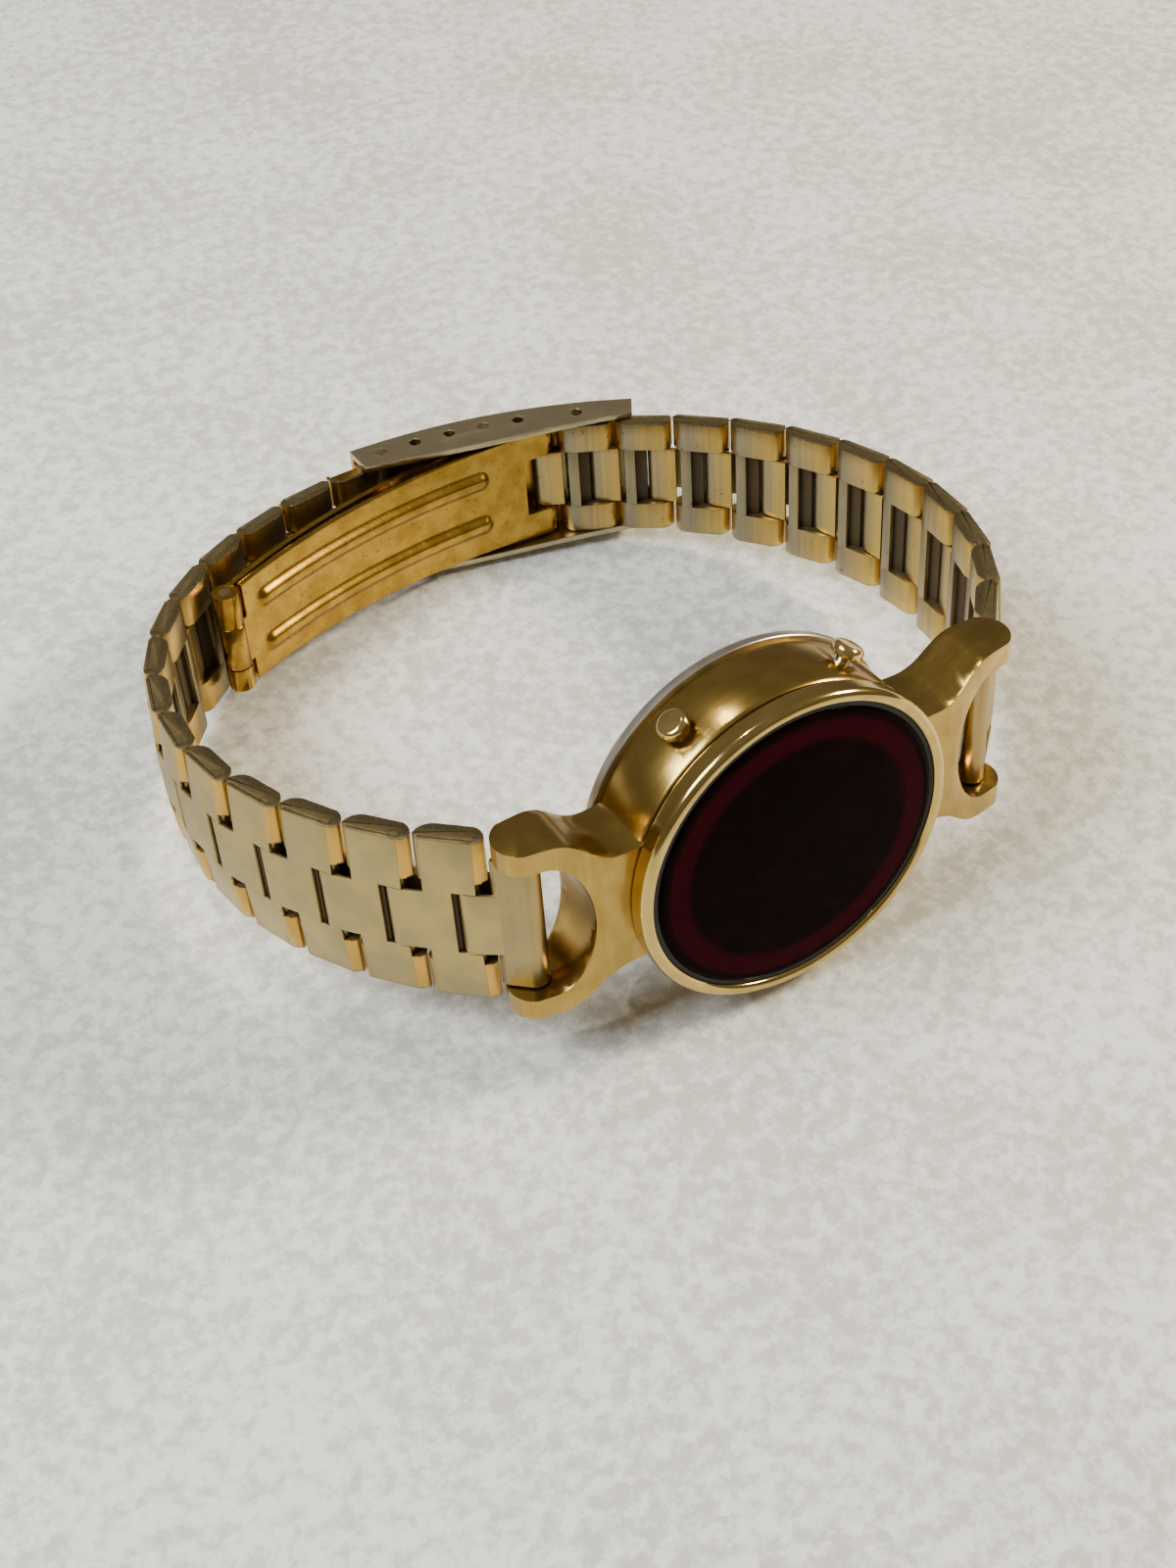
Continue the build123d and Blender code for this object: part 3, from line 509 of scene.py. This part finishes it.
def satin_link_finish():
    """Matte outer faces, warm sloping ends, inner faces from steel grey to gold, painted shade in the slot
    between the blocks, and dark specks inside.
    """
    dull_gold, pale_gold = (0.40, 0.325, 0.15), (0.48, 0.37, 0.15)
    grey_steel, inner_gold = (0.25, 0.215, 0.14), (0.55, 0.365, 0.095)
    grey_roll, roll_gold = (0.25, 0.215, 0.135), (0.53, 0.36, 0.10)
    dull_end, pale_end = (0.28, 0.22, 0.11), (0.36, 0.285, 0.14)
    # The last colour here is the near-black brown painted as shade into the slot between the blocks, and is
    # also the colour of the dark specks.
    slope_gold, rivet_line, shade_and_speck_colour = (0.64, 0.38, 0.085), (0.06, 0.04, 0.02), (0.035, 0.018, 0.007)
    material, wire = start_finish("satin_gold_link", roughness=0.35, metallic=1.0)
    local = wire.node("ShaderNodeAttribute", {"attribute_name": "local"}, {}, "Vector")
    seed = wire.node("ShaderNodeAttribute", {"attribute_name": "wear"}, {}, "Fac")
    point = wire.node("ShaderNodeSeparateXYZ", {}, {0: local})
    x, y, z = point.out("X"), point.out("Y"), point.out("Z")
    streak = vector(wire, X=x * 3.0 + seed * 7.3, Y=y * 3.0, Z=z * 0.5).noise(1.0, 4.0, 0.6)
    line = vector(wire, X=x * 16.0 + seed, Y=y * 16.0, Z=z * 2.0).noise(1.0, 3.0)
    place = wire.node("ShaderNodeTexCoord", {}, {}, "Object")
    cloud = place.noise(420.0, 3.0)
    fine = place.noise(9000.0, 2.0)

    # Where each look goes: the rolled strip, the sloping end that is on the other side of the links of the
    # left half, the faces toward the wrist, the ends of the blocks, and the slot between them, which gets
    # painted shade.
    centre = z < 0.5
    left_half = seed > left_seed - 2
    slope = (1 - left_half) * x.ramp(3.0, 3.1) + left_half * (1 - x.ramp(-0.42, -0.36))
    slope = slope * (1 - centre) * y.ramp(-1.0, -0.4)
    inside = y.ramp(-0.35, -0.72)
    cap = z.ramp(0.972, 0.982)
    # Painted shade: the channel between the side blocks, with the bridge in it, is darkened to near black as
    # if shaded.
    slot_shade = (x < 3.1) * (z < 0.535) * (y < 0.48) * (y > -0.84)

    outer = cloud.ramp(0.35, 0.65).mix(dull_gold, pale_gold)
    inner = (0.28 - x * 0.28 + streak * 1.1).ramp(0.0, 1.0).mix(grey_steel, inner_gold)
    rolled = (2.3 - x * 0.5 + streak * 1.1).ramp(0.0, 1.0).mix(grey_roll, roll_gold)
    inner = (centre * (x > 3.1)).mix(inner, rolled)
    colour = slope.mix(inside.mix(outer, inner), slope_gold)
    from_pin = vector(wire, X=x + 0.1, Y=y - 0.05)
    ring = wire.node("ShaderNodeVectorMath", {"operation": "LENGTH"}, {0: from_pin}, "Value")
    ring = ring.ramp(0.3, 0.36) * (1 - ring.ramp(0.4, 0.46))
    ends = (streak * 0.6 + cloud * 0.4).ramp(0.35, 0.65).mix(dull_end, pale_end)
    colour = cap.mix(colour, (ring * 0.35).mix(ends, rivet_line))
    speck = place.noise(2600.0, 2.0).ramp(0.66, 0.72) * inside * cloud.ramp(0.5, 0.6)
    # The painted shade of the slot and the real dark specks are joined here; together they darken the colour,
    # dull the metal and roughen it.
    shade_and_specks = slot_shade * 0.9 + speck * 0.75
    shade_and_specks = shade_and_specks.maths("MINIMUM", shade_and_specks, 1.0)
    rough = 0.36 + fine * 0.16 - inside * 0.12 - cap * 0.06 - slope * 0.08 + shade_and_specks * 0.3
    end_finish(wire, base_color=shade_and_specks.mix(colour, shade_and_speck_colour), roughness=rough, metallic=1 - shade_and_specks * 0.6,
               relief=line * (inside * 0.012 + 0.001) + fine * 0.002)
    return material


across_tree = drawn_across_tree()
sheet_tree = folded_sheet_tree()
link_finish = satin_link_finish()


def drawn_across(section, inner, outer, edge, **dome):
    """Mesh of a section drawn out across the bracelet from one distance to another, with soft edges."""
    sizes = {"Inner distance": inner, "Outer distance": outer, "Dome drop": 0.0, "Finish": link_finish}
    sizes.update({"Dome " + name: size for name, size in dome.items()})
    return shaped(section, across_tree, sizes, [softened(edge)] if edge else [])


def link_shapes(place, half, half_next, start_x, pin, nose):
    """Shapes of one link: the folded sheet, and for a full link its side blocks, bridge and hinge pin."""
    line, flap_start = strip_line(start_x, pin)
    full = start_x < 0
    sizes = {"Centre half": half_next * plate_share - strip_play, "Ear start": half * plate_share,
             "Flap half": half_next * flap_share, "Half width": half, "Flap start": flap_start,
             "Slot end": plate_start - start_x if full else -2.0,
             "Ears end": ears_end - 0.01 - start_x if full else -1.0,
             "Dome drop": dome_drop, "Finish": link_finish}
    wall = ("SOLIDIFY", {"thickness": sheet, "offset": -1.0, "use_even_offset": True})
    meshes = [shaped(line, sheet_tree, sizes, [wall, softened(0.06)])]
    if full:
        inner = half * channel_share
        meshes.append(drawn_across(block_section(nose, start_x), inner, half, edge=0.08,
                                   start=half * plate_share, end=half, drop=dome_drop))
        bridge = outline([
            (bridge_start, skin - link_sink), (bridge_end, skin - link_sink), (bridge_end, bridge_top),
            (2.3, bridge_top), (2.25, web_low), (web_front, web_low), (web_front - 0.05, web_top),
            (web_back, web_top), (web_back, -0.5), (bridge_start, -0.55)])
        meshes.append(drawn_across(bridge, -inner - bridge_lap, inner + bridge_lap, edge=0.05))
        meshes.append(drawn_across(circle(pin_radius), pin_cap - half, half - pin_cap, edge=0.0))
    return [(mesh, place, half) for mesh in meshes]


def half_width(number, count):
    """Half width of the bracelet at the start of a link, which narrows as far as the last but one."""
    return half_at_lug - (half_at_lug - half_at_clasp) * min(number / (count - 2), 1)


right_bar = watch_point("hinge_right_00")
left_bar = Vector((-right_bar.x, right_bar.y, 0))
chains = {
    "right": [right_bar] + [watch_point("hinge_right_%02d" % number) for number in range(1, 12)]
    + [watch_point("hinge_blade")],
    "left": [left_bar] + [watch_point("hinge_left_%02d" % number) for number in range(1, 15)]}
nose = link_pitch - link_tail - block_gap
for name, count, turn, ears_start, first_seed in (
        ("right", 11, 1, right_ears_start, 0), ("left", 13, -1, left_ears_start, left_seed)):
    pins = chains[name]
    for number in range(1, count + 1):
        place = link_place(pins[number], pins[number + 1], turn)
        shapes = link_shapes(place, half_width(number - 1, count), half_width(number, count), ears_start,
                             link_pitch, nose)
        body = "link_%s_%02d" % (name, number)
        piece = merged("folded_" + body, shapes, link_finish, number + first_seed)
        fixed(piece, body, "link_steel", body)


# End links and spring link. A plate rolled round each lug bar, with the same folded strip, and the
# hollow link that the sizing bar holds in the clasp cover. Steel, plated and finished as the links.
lug_link_pitch = 3.6
lug_link_half = 5.62
lug_strip_start = 1.7
roll_lip = 0.15            # where the plate leaves the roll
roll_rise = 0.98
for name, turn in (("right", 1), ("left", -1)):
    place = link_place(chains[name][0], chains[name][1], turn)
    plate = [(roll_lip, roll_rise), (1.85, link_rise), (2.3, 0.42), (2.18, 0.0), (1.0, -link_rise),
             (roll_lip, -roll_rise)]
    plate += arc((roll_lip, -roll_rise), (-1.0, 0.0), (roll_lip, roll_rise), 20)[:-1]
    rolled_plate = drawn_across(outline(plate), -lug_link_half, lug_link_half, edge=0.1)
    shapes = [(rolled_plate, place, lug_link_half + 0.02)]
    shapes += link_shapes(place, half_at_lug, half_at_lug, lug_strip_start, lug_link_pitch, 0)
    body = "end_link_" + name
    piece = merged("rolled_" + body, shapes, link_finish, 2 * left_seed + turn)
    fixed(piece, body, "link_steel", body)


def copied(node, place, half, modifiers):
    """Copy of a node's shape in its own frame, with its points merged and its edges softened."""
    form = bmesh.new()
    form.from_mesh(frame["nodes"][node].data)
    form.transform(place.inverted() @ frame["nodes"][node].matrix_world)
    bmesh.ops.remove_doubles(form, verts=form.verts, dist=0.0005)
    bmesh.ops.dissolve_limit(form, angle_limit=math.radians(0.5), verts=form.verts, edges=form.edges)
    mesh = bpy.data.meshes.new(node + "_copy")
    form.to_mesh(mesh)
    form.free()
    return shaped(mesh, None, {}, modifiers), place, half


place = link_place(watch_point("hinge_left_14"), watch_point("hinge_sizing_bar"), -1)
spring_shape = copied("spring_link", place, half_at_clasp, [softened(0.05)])
spring_link = merged("hollow_spring_link", [spring_shape], link_finish, seed=50)
fixed(spring_link, "spring_link", "link_steel", "spring_link")


# Case middle. One turned and pierced steel piece with two stirrup lugs, gold-plated and brushed with
# fine lines round the axis of the display. The edges of its horns are rounded by wear.
def watch_coordinates(wire):
    """Millimetres in the watch's own frame: y out of the display, z to the lower edge."""
    back = watch_place.inverted()
    place = wire.node("ShaderNodeTexCoord", {}, {}, "Object")
    return wire.node("ShaderNodeMapping", {"vector_type": "POINT"}, {
        "Vector": place, "Location": back.to_translation(), "Rotation": back.to_euler(),
        "Scale": back.to_scale()})


def turned_finish(name, light, dark, roughness, lines):
    """Metal with fine lines round the display's axis."""
    material, wire = start_finish(name, roughness, metallic=1.0)
    point = watch_coordinates(wire)
    stretch = wire.node("ShaderNodeVectorMath", {"operation": "MULTIPLY"}, {0: point, 1: (0.25, 14.0, 0.25)})
    line = stretch.noise(1.0, 4.0, 0.6)
    cloud = point.noise(0.5, 3.0)
    fine = point.noise(9.0, 2.0)
    end_finish(wire, base_color=(cloud * 0.6 + line * 0.4).ramp(0.36, 0.64).mix(dark, light),
               roughness=roughness - 0.06 + line * 0.08 + fine * 0.06, relief=line * lines + fine * 0.002)
    return material


plain_half = 10            # for pieces whose finish doesn't ask how far across a point lies
case_finish = turned_finish("brushed_gold_case", light=(0.45, 0.305, 0.085), dark=(0.36, 0.235, 0.058),
                            roughness=0.2, lines=0.004)
case_shape = copied("case_body", watch_place, plain_half, [softened(0.1, angle=30.0)])
case_middle = merged("case_middle", [case_shape], case_finish)
fixed(case_middle, "head", "case_plate", "case_body")


# Bezel, display window and case back, all turned about the display's axis. The bezel is polished, the
# window is a flat dark red plastic disc with a bevelled rim, and the lid is plain steel.
def turned(points, steps=192):
    """A body of revolution from (radius, depth) points, in the watch's own millimetres."""
    form = bmesh.new()
    rings = []
    for step in range(steps):
        turn = 2 * math.pi * step / steps
        rings.append([form.verts.new((radius * math.cos(turn), -depth, radius * math.sin(turn)))
                      for radius, depth in points])
    for step in range(steps):
        first, second = rings[step], rings[(step + 1) % steps]
        for number in range(len(points)):
            after = (number + 1) % len(points)
            form.faces.new((first[number], first[after], second[after], second[number]))
    bmesh.ops.remove_doubles(form, verts=form.verts, dist=0.0005)
    bmesh.ops.dissolve_degenerate(form, edges=form.edges, dist=0.0005)
    mesh = bpy.data.meshes.new("turned")
    form.to_mesh(mesh)
    form.free()
    return mesh, watch_place, plain_half


bezel_radius = 12.6
bezel_depth = 1.7
window_radius = 11.3
window_back = 1.35
opening_radius = 11.6
case_bore = 10.6
bezel_finish = turned_finish("polished_gold_bezel", light=(0.60, 0.435, 0.15), dark=(0.50, 0.35, 0.105),
                             roughness=0.12, lines=0.002)
shoulder = (11.8, 0.1)
rim = (bezel_radius, 0.62)
foot = (bezel_radius, 1.42)
sole = (12.38, bezel_depth)
bezel_points = [(opening_radius, 0.42), (11.62, 0.3), (11.68, 0.2), shoulder]
bezel_points += arc(shoulder, (12.38, 0.14), rim, 10)
bezel_points += [foot] + arc(foot, (12.55, 1.62), sole, 4)
bezel_points += [(case_bore, bezel_depth), (case_bore, window_back), (opening_radius, window_back)]
bezel = merged("bezel_ring", [turned(bezel_points)], bezel_finish)
fixed(bezel, "head", "bezel_plate", "bezel")

window_face = 0.13         # under the edge of the bezel
bevel_start = (10.86, window_face)
window_dark, window_red = (0.0045, 0.0018, 0.0016), (0.0085, 0.0022, 0.0022)
ring_red = (0.030, 0.0018, 0.0042)
lens_finish, wire = start_finish("dark_window", roughness=0.06, metallic=0.0)
point = wire.node("ShaderNodeSeparateXYZ", {}, {0: watch_coordinates(wire)})
flat = vector(wire, X=point.out("X"), Y=point.out("Z"))
radius = wire.node("ShaderNodeVectorMath", {"operation": "LENGTH"}, {0: flat}, "Value")
haze = flat.noise(0.35, 3.0)
ring = radius.ramp(8.6, 9.3) * (1 - radius.ramp(10.35, 10.75))
colour = haze.ramp(0.4, 0.7).mix(window_dark, window_red)
colour = (ring * (0.75 + haze * 0.4)).mix(colour, ring_red)
wire.tree.nodes["Principled BSDF"].inputs["Specular IOR Level"].default_value = 0.01
end_finish(wire, base_color=colour, roughness=0.05 + flat.noise(3.0, 4.0) * 0.05)
lens_points = [(0, window_face), bevel_start] + arc(bevel_start, (11.1, 0.19), (11.28, 0.36), 5)
lens_points += [(window_radius, 0.45), (window_radius, window_back), (0, window_back)]
lens = merged("display_window", [turned(lens_points)], lens_finish)
fixed(lens, "head", "dark_lens", "lens")

back_radius = 12.7
back_depth = 9.3           # wrist face, from the front of the bezel
case_depth = 7.4           # seat of the lid under the case middle
spigot_top = 6.7
spigot_radius = 11.45
spigot_bore = 10.65
lid_inside = 8.4
flat_edge = (9.5, back_depth)
slope_end = (12.3, 8.35)
back_finish = turned_finish("plain_steel_back", light=(0.66, 0.62, 0.55), dark=(0.54, 0.50, 0.44),
                            roughness=0.3, lines=0.004)
back_points = [(0, back_depth), flat_edge] + arc(flat_edge, (9.8, 9.22), (10.1, 9.1), 3)
back_points += [slope_end] + arc(slope_end, (12.58, 8.2), (back_radius, 7.95), 5)
back_points += [(back_radius, 7.45), (12.66, case_depth), (spigot_radius, case_depth),
                (spigot_radius, spigot_top), (spigot_bore, spigot_top), (spigot_bore, 7.85),
                (9.6, lid_inside), (0, lid_inside)]
case_back = merged("case_lid", [turned(back_points)], back_finish)
fixed(case_back, "head", "back_steel", "case_back")


# Pushers. Two small polished buttons with a domed top, gold-plated. Each is turned in one piece with
# the stem that passes through a tube in the case wall.
pusher_lean = 32.0         # degrees either side of the bracelet's edge
pusher_depth = 4.6
stem_radius = 0.5
stem_end = 10.88
button_base = 12.9
button_radius = 1.15


def button(turn):
    """Turned button about its own axis, which leans to one side of the bracelet's edge."""
    edge = (button_radius, 13.35)
    form = [(0, stem_end), (stem_radius, stem_end), (stem_radius, button_base), (1.08, button_base),
            (button_radius, 12.98), edge]
    form += arc(edge, (1.0, 13.62), (0.72, 13.7), 6) + [(0.4, 13.74), (0, 13.75)]
    mesh, _, half = turned([(radius, -depth) for radius, depth in form], 48)
    lean = math.radians(pusher_lean) * turn
    z = Vector((math.sin(lean), 0, -math.cos(lean)))
    x = z.cross(Vector((0, -1, 0)))
    frame_of_button = Matrix((
        (x.x, z.x, 0, 0), (x.y, z.y, 1, -pusher_depth), (x.z, z.z, 0, 0), (0, 0, 0, 1)))
    return mesh, watch_place @ frame_of_button, half


pusher_finish = turned_finish("polished_gold_pusher", light=(0.78, 0.57, 0.22), dark=(0.68, 0.48, 0.17),
                              roughness=0.13, lines=0.001)
for name, turn in (("right", 1), ("left", -1)):
    pusher = merged("button_" + name, [button(turn)], pusher_finish)
    fixed(pusher, "pusher_" + name, "pusher_plate", "pusher_" + name)


# Clasp blades. The inner one is a curved strip of spring steel, plated in rich gold, with two pressed
# ribs, a notch with two rolled prongs at one end and the middle knuckle of the fold at the other.
blade_radius = 56.0
blade_length = 32.5        # end hinge to fold hinge
end_pin_reach = 57.15      # from the centre of the blade's curve
fold_pin_reach = 56.575
blade_sheet = 0.5
end_half = 5.12
fold_half = 4.5
notch_half = 2.704
prong_inner = 2.75
prong_radius = 0.93
prong_bore = 0.46
knuckle_radius = 1.05
knuckle_bore = 0.53
knuckle_low = -1.5
knuckle_high = 2.49
knuckle_play = 0.03


def clasp_place_from(end, fold):
    """Frame of the clasp, in which the blade is part of a circle about the origin, and the fold pin."""
    lean = -blade_length / blade_radius
    first = Vector((0, -end_pin_reach, 0))
    second = Vector((fold_pin_reach * math.sin(lean), -fold_pin_reach * math.cos(lean), 0))
    turn = math.atan2(fold.y - end.y, fold.x - end.x) - math.atan2(second.y - first.y, second.x - first.x)
    spin = Matrix.Rotation(turn, 4, "Z")
    return watch_place @ Matrix.Translation(end - spin @ first) @ spin, second


def pressed_blade_tree():
    """Curved strip with two pressed ribs, a notch at one end and room for the knuckles at the other."""
    start = tree_of("pressed_blade", (
        "Length", "End half", "Fold half", "Rib first", "Rib last", "Rib width", "Rib height", "Rib place",
        "Bend radius", "Notch depth", "Notch half", "Relief", "Knuckle low", "Knuckle high"))
    grid = start.node("GeometryNodeMeshGrid", {}, {
        "Size X": start.out("Length"), "Size Y": 2.0, "Vertices X": 221, "Vertices Y": 81})
    x, y, _ = position(start)
    along = x - start.out("Length") / 2
    share = along / (0 - start.out("Length"))
    half = start.out("End half") + (start.out("Fold half") - start.out("End half")) * share
    across = y * half
    beyond = start.maths("MAXIMUM", start.out("Rib last") - along, along - start.out("Rib first"))
    beyond = start.maths("MAXIMUM", beyond, 0.0)
    beside = abs(across) - start.out("Rib place")
    off = start.maths("SQRT", beyond * beyond + beside * beside)
    press = off.ramp(start.out("Rib width") * 0.58, start.out("Rib width") * 0.1) * start.out("Rib height")
    angle = along / start.out("Bend radius")
    ray = start.out("Bend radius") - press
    bent = vector(start, X=ray * start.maths("SINE", angle), Y=0 - ray * start.maths("COSINE", angle),
                  Z=across)
    notch = (along > 0 - start.out("Notch depth")) * (abs(across) < start.out("Notch half"))
    beside_knuckle = (across < start.out("Knuckle low")) + (across > start.out("Knuckle high"))
    relief = (along < 0 - start.out("Relief")) * beside_knuckle
    cut = start.node("GeometryNodeDeleteGeometry", {"domain": "FACE"}, {
        "Geometry": grid, "Selection": (notch + relief) > 0.5})
    end_tree(start, start.node("GeometryNodeSetPosition", {}, {"Geometry": cut, "Position": bent}))
    return start.tree


def rich_gold_finish():
    """Deep yellow plating with a faint cloud, fine grain and a few dark specks."""
    deep_gold, yellow_gold, rust = (0.36, 0.20, 0.026), (0.50, 0.305, 0.05), (0.22, 0.10, 0.03)
    material, wire = start_finish("rich_gold_blade", roughness=0.24, metallic=1.0)
    point = watch_coordinates(wire)
    cloud = point.noise(0.55, 4.0, 0.6)
    fine = point.noise(7.0, 3.0)
    speck = point.noise(3.2, 2.0).ramp(0.67, 0.72)
    colour = (speck * 0.7).mix(cloud.ramp(0.35, 0.65).mix(deep_gold, yellow_gold), rust)
    end_finish(wire, base_color=colour, roughness=0.2 + fine * 0.1 + speck * 0.3,
               relief=fine * 0.003 + cloud * 0.02)
    return material


def sleeve(radius, bore, low, high, centre):
    """A rolled curl or knuckle about a pin, between two heights of the clasp."""
    edge = 0.08
    ring = [(bore, low), (radius - edge, low), (radius, low + edge), (radius, high - edge),
            (radius - edge, high), (bore, high)]
    mesh, _, half = turned(ring, 64)
    stand = Matrix.Translation(centre) @ Matrix.Rotation(math.radians(-90), 4, "X")
    return mesh, clasp_place @ stand, half


blade_finish = rich_gold_finish()
clasp_place, fold_hinge = clasp_place_from(watch_point("hinge_blade"), watch_point("clasp_fold"))
end_hinge = Vector((0, -end_pin_reach, 0))
blade_sizes = {
    "Length": 31.9, "End half": end_half, "Fold half": fold_half, "Rib first": -6.45, "Rib last": -28.95,
    "Rib width": 1.8, "Rib height": 0.46, "Rib place": 2.15, "Bend radius": blade_radius,
    "Notch depth": 2.15, "Notch half": notch_half, "Relief": 31.2,
    "Knuckle low": knuckle_low - knuckle_play, "Knuckle high": knuckle_high + knuckle_play,
    "Finish": blade_finish}
blade_wall = ("SOLIDIFY", {"thickness": blade_sheet, "offset": 1.0})
blade = shaped(bpy.data.meshes.new("blade_blank"), pressed_blade_tree(), blade_sizes,
               [blade_wall, softened(0.06, angle=60.0, segments=1)])
shapes = [
    (blade, clasp_place, end_half),
    sleeve(prong_radius, prong_bore, prong_inner, end_half, end_hinge),
    sleeve(prong_radius, prong_bore, -end_half, -prong_inner, end_hinge),
    sleeve(knuckle_radius, knuckle_bore, knuckle_low, knuckle_high, fold_hinge)]
inner_blade = merged("pressed_inner_blade", shapes, blade_finish, sharp=50.0)
fixed(inner_blade, "inner_blade", "blade_plate", "inner_blade")

middle_shape = copied("middle_blade", clasp_place, plain_half, [softened(0.06)])
middle_blade = merged("middle_blade_strip", [middle_shape], blade_finish)
fixed(middle_blade, "middle_blade", "blade_plate", "middle_blade")


# Clasp cover. A curved channel of plated steel that closes over the folded blades, with two flanges
# pierced by six holes each; greyer than the links outside, brushed along its length, gold within.
wall_inside = 5.3          # half width of the channel
flange_outside = 5.8
grey_plate, pale_plate = (0.40, 0.34, 0.21), (0.52, 0.44, 0.26)
channel_gold, worn_edge = (0.50, 0.29, 0.05), (0.78, 0.68, 0.48)
cover_finish, wire = start_finish("brushed_cover", roughness=0.3, metallic=1.0)
point = watch_coordinates(wire)
across = abs(wire.node("ShaderNodeSeparateXYZ", {}, {0: point}, "Z"))
stretch = wire.node("ShaderNodeVectorMath", {"operation": "MULTIPLY"}, {0: point, 1: (0.4, 7.0, 7.0)})
line = stretch.noise(1.0, 4.0, 0.6)
cloud = point.noise(0.5, 3.0)
within = 1 - across.ramp(wall_inside, wall_inside + 0.12)
edge = across.ramp(flange_outside, flange_outside + 0.05)
colour = (line * 0.5 + cloud * 0.5).ramp(0.38, 0.62).mix(grey_plate, pale_plate)
colour = (edge * 0.3).mix(within.mix(colour, channel_gold), worn_edge)
end_finish(wire, base_color=colour, roughness=0.24 + line * 0.14, relief=line * 0.006)
cover_shape = copied("clasp_cover", clasp_place, plain_half, [softened(0.08)])
cover = merged("clasp_cover_channel", [cover_shape], cover_finish)
fixed(cover, "cover", "cover_plate", "clasp_cover")


# Pins and bars. Drawn steel rods, a little worn, that show in the holes of the cover, in the lugs and
# in the fold of the clasp. They are pressed or sprung into their seats.
def plain_finish(name, light, dark, grains, roughness, metallic):
    """Small-grained finish of two close colours, with so many grains a millimetre."""
    material, wire = start_finish(name, roughness, metallic)
    grain = watch_coordinates(wire).noise(grains, 3.0)
    end_finish(wire, base_color=grain.ramp(0.35, 0.65).mix(dark, light),
               roughness=roughness - 0.05 + grain * 0.1, relief=grain * 0.003)
    return material


def dressed(finish, *nodes):
    """Gives nodes that keep their own shape a finish."""
    for node in nodes:
        frame["nodes"][node].data.materials.clear()
        frame["nodes"][node].data.materials.append(finish)


dressed(plain_finish("worn_steel_pin", (0.50, 0.38, 0.20), (0.32, 0.24, 0.13), grains=3.0,
                     roughness=0.3, metallic=1.0),
        "lug_bar_right", "lug_bar_tips_left", "lug_bar_left", "spring_link_pin", "inner_blade_end_pin",
        "fold_pin", "cover_pin", "sizing_bar")


# Seals. Black rubber rings that keep water out: one under the window, one in the seat of the case
# back, and a small one round the stem of each pusher.
dressed(plain_finish("black_rubber", (0.022, 0.020, 0.019), (0.012, 0.011, 0.011), grains=5.0,
                     roughness=0.7, metallic=0.0),
        "lens_gasket", "back_gasket", "pusher_seal_right", "pusher_seal_left")


# Module. A moulded frame with a green board, a red display under the window, the driver chip and the
# quartz crystal, over two button cells joined by a sprung brass strip. The pushers' tubes are steel.
dressed(plain_finish("ivory_resin", (0.70, 0.66, 0.56), (0.62, 0.58, 0.48), grains=2.0,
                     roughness=0.55, metallic=0.0), "module_frame")
dressed(plain_finish("green_board", (0.03, 0.16, 0.07), (0.02, 0.11, 0.05), grains=4.0,
                     roughness=0.45, metallic=0.0), "circuit_board")
dressed(plain_finish("display_cover", (0.10, 0.01, 0.012), (0.06, 0.006, 0.008), grains=2.0,
                     roughness=0.15, metallic=0.0), "display")
dressed(plain_finish("chip_resin", (0.03, 0.03, 0.032), (0.02, 0.02, 0.021), grains=6.0,
                     roughness=0.5, metallic=0.0), "driver_chip")
dressed(plain_finish("bright_steel", (0.72, 0.71, 0.69), (0.62, 0.61, 0.60), grains=3.0,
                     roughness=0.25, metallic=1.0),
        "quartz_crystal", "cell_right", "cell_left", "pusher_tube_right", "pusher_tube_left")
dressed(plain_finish("sprung_brass", (0.80, 0.62, 0.28), (0.70, 0.52, 0.22), grains=3.0,
                     roughness=0.3, metallic=1.0),
        "cell_contact", "switch_leaf_right", "switch_leaf_left")
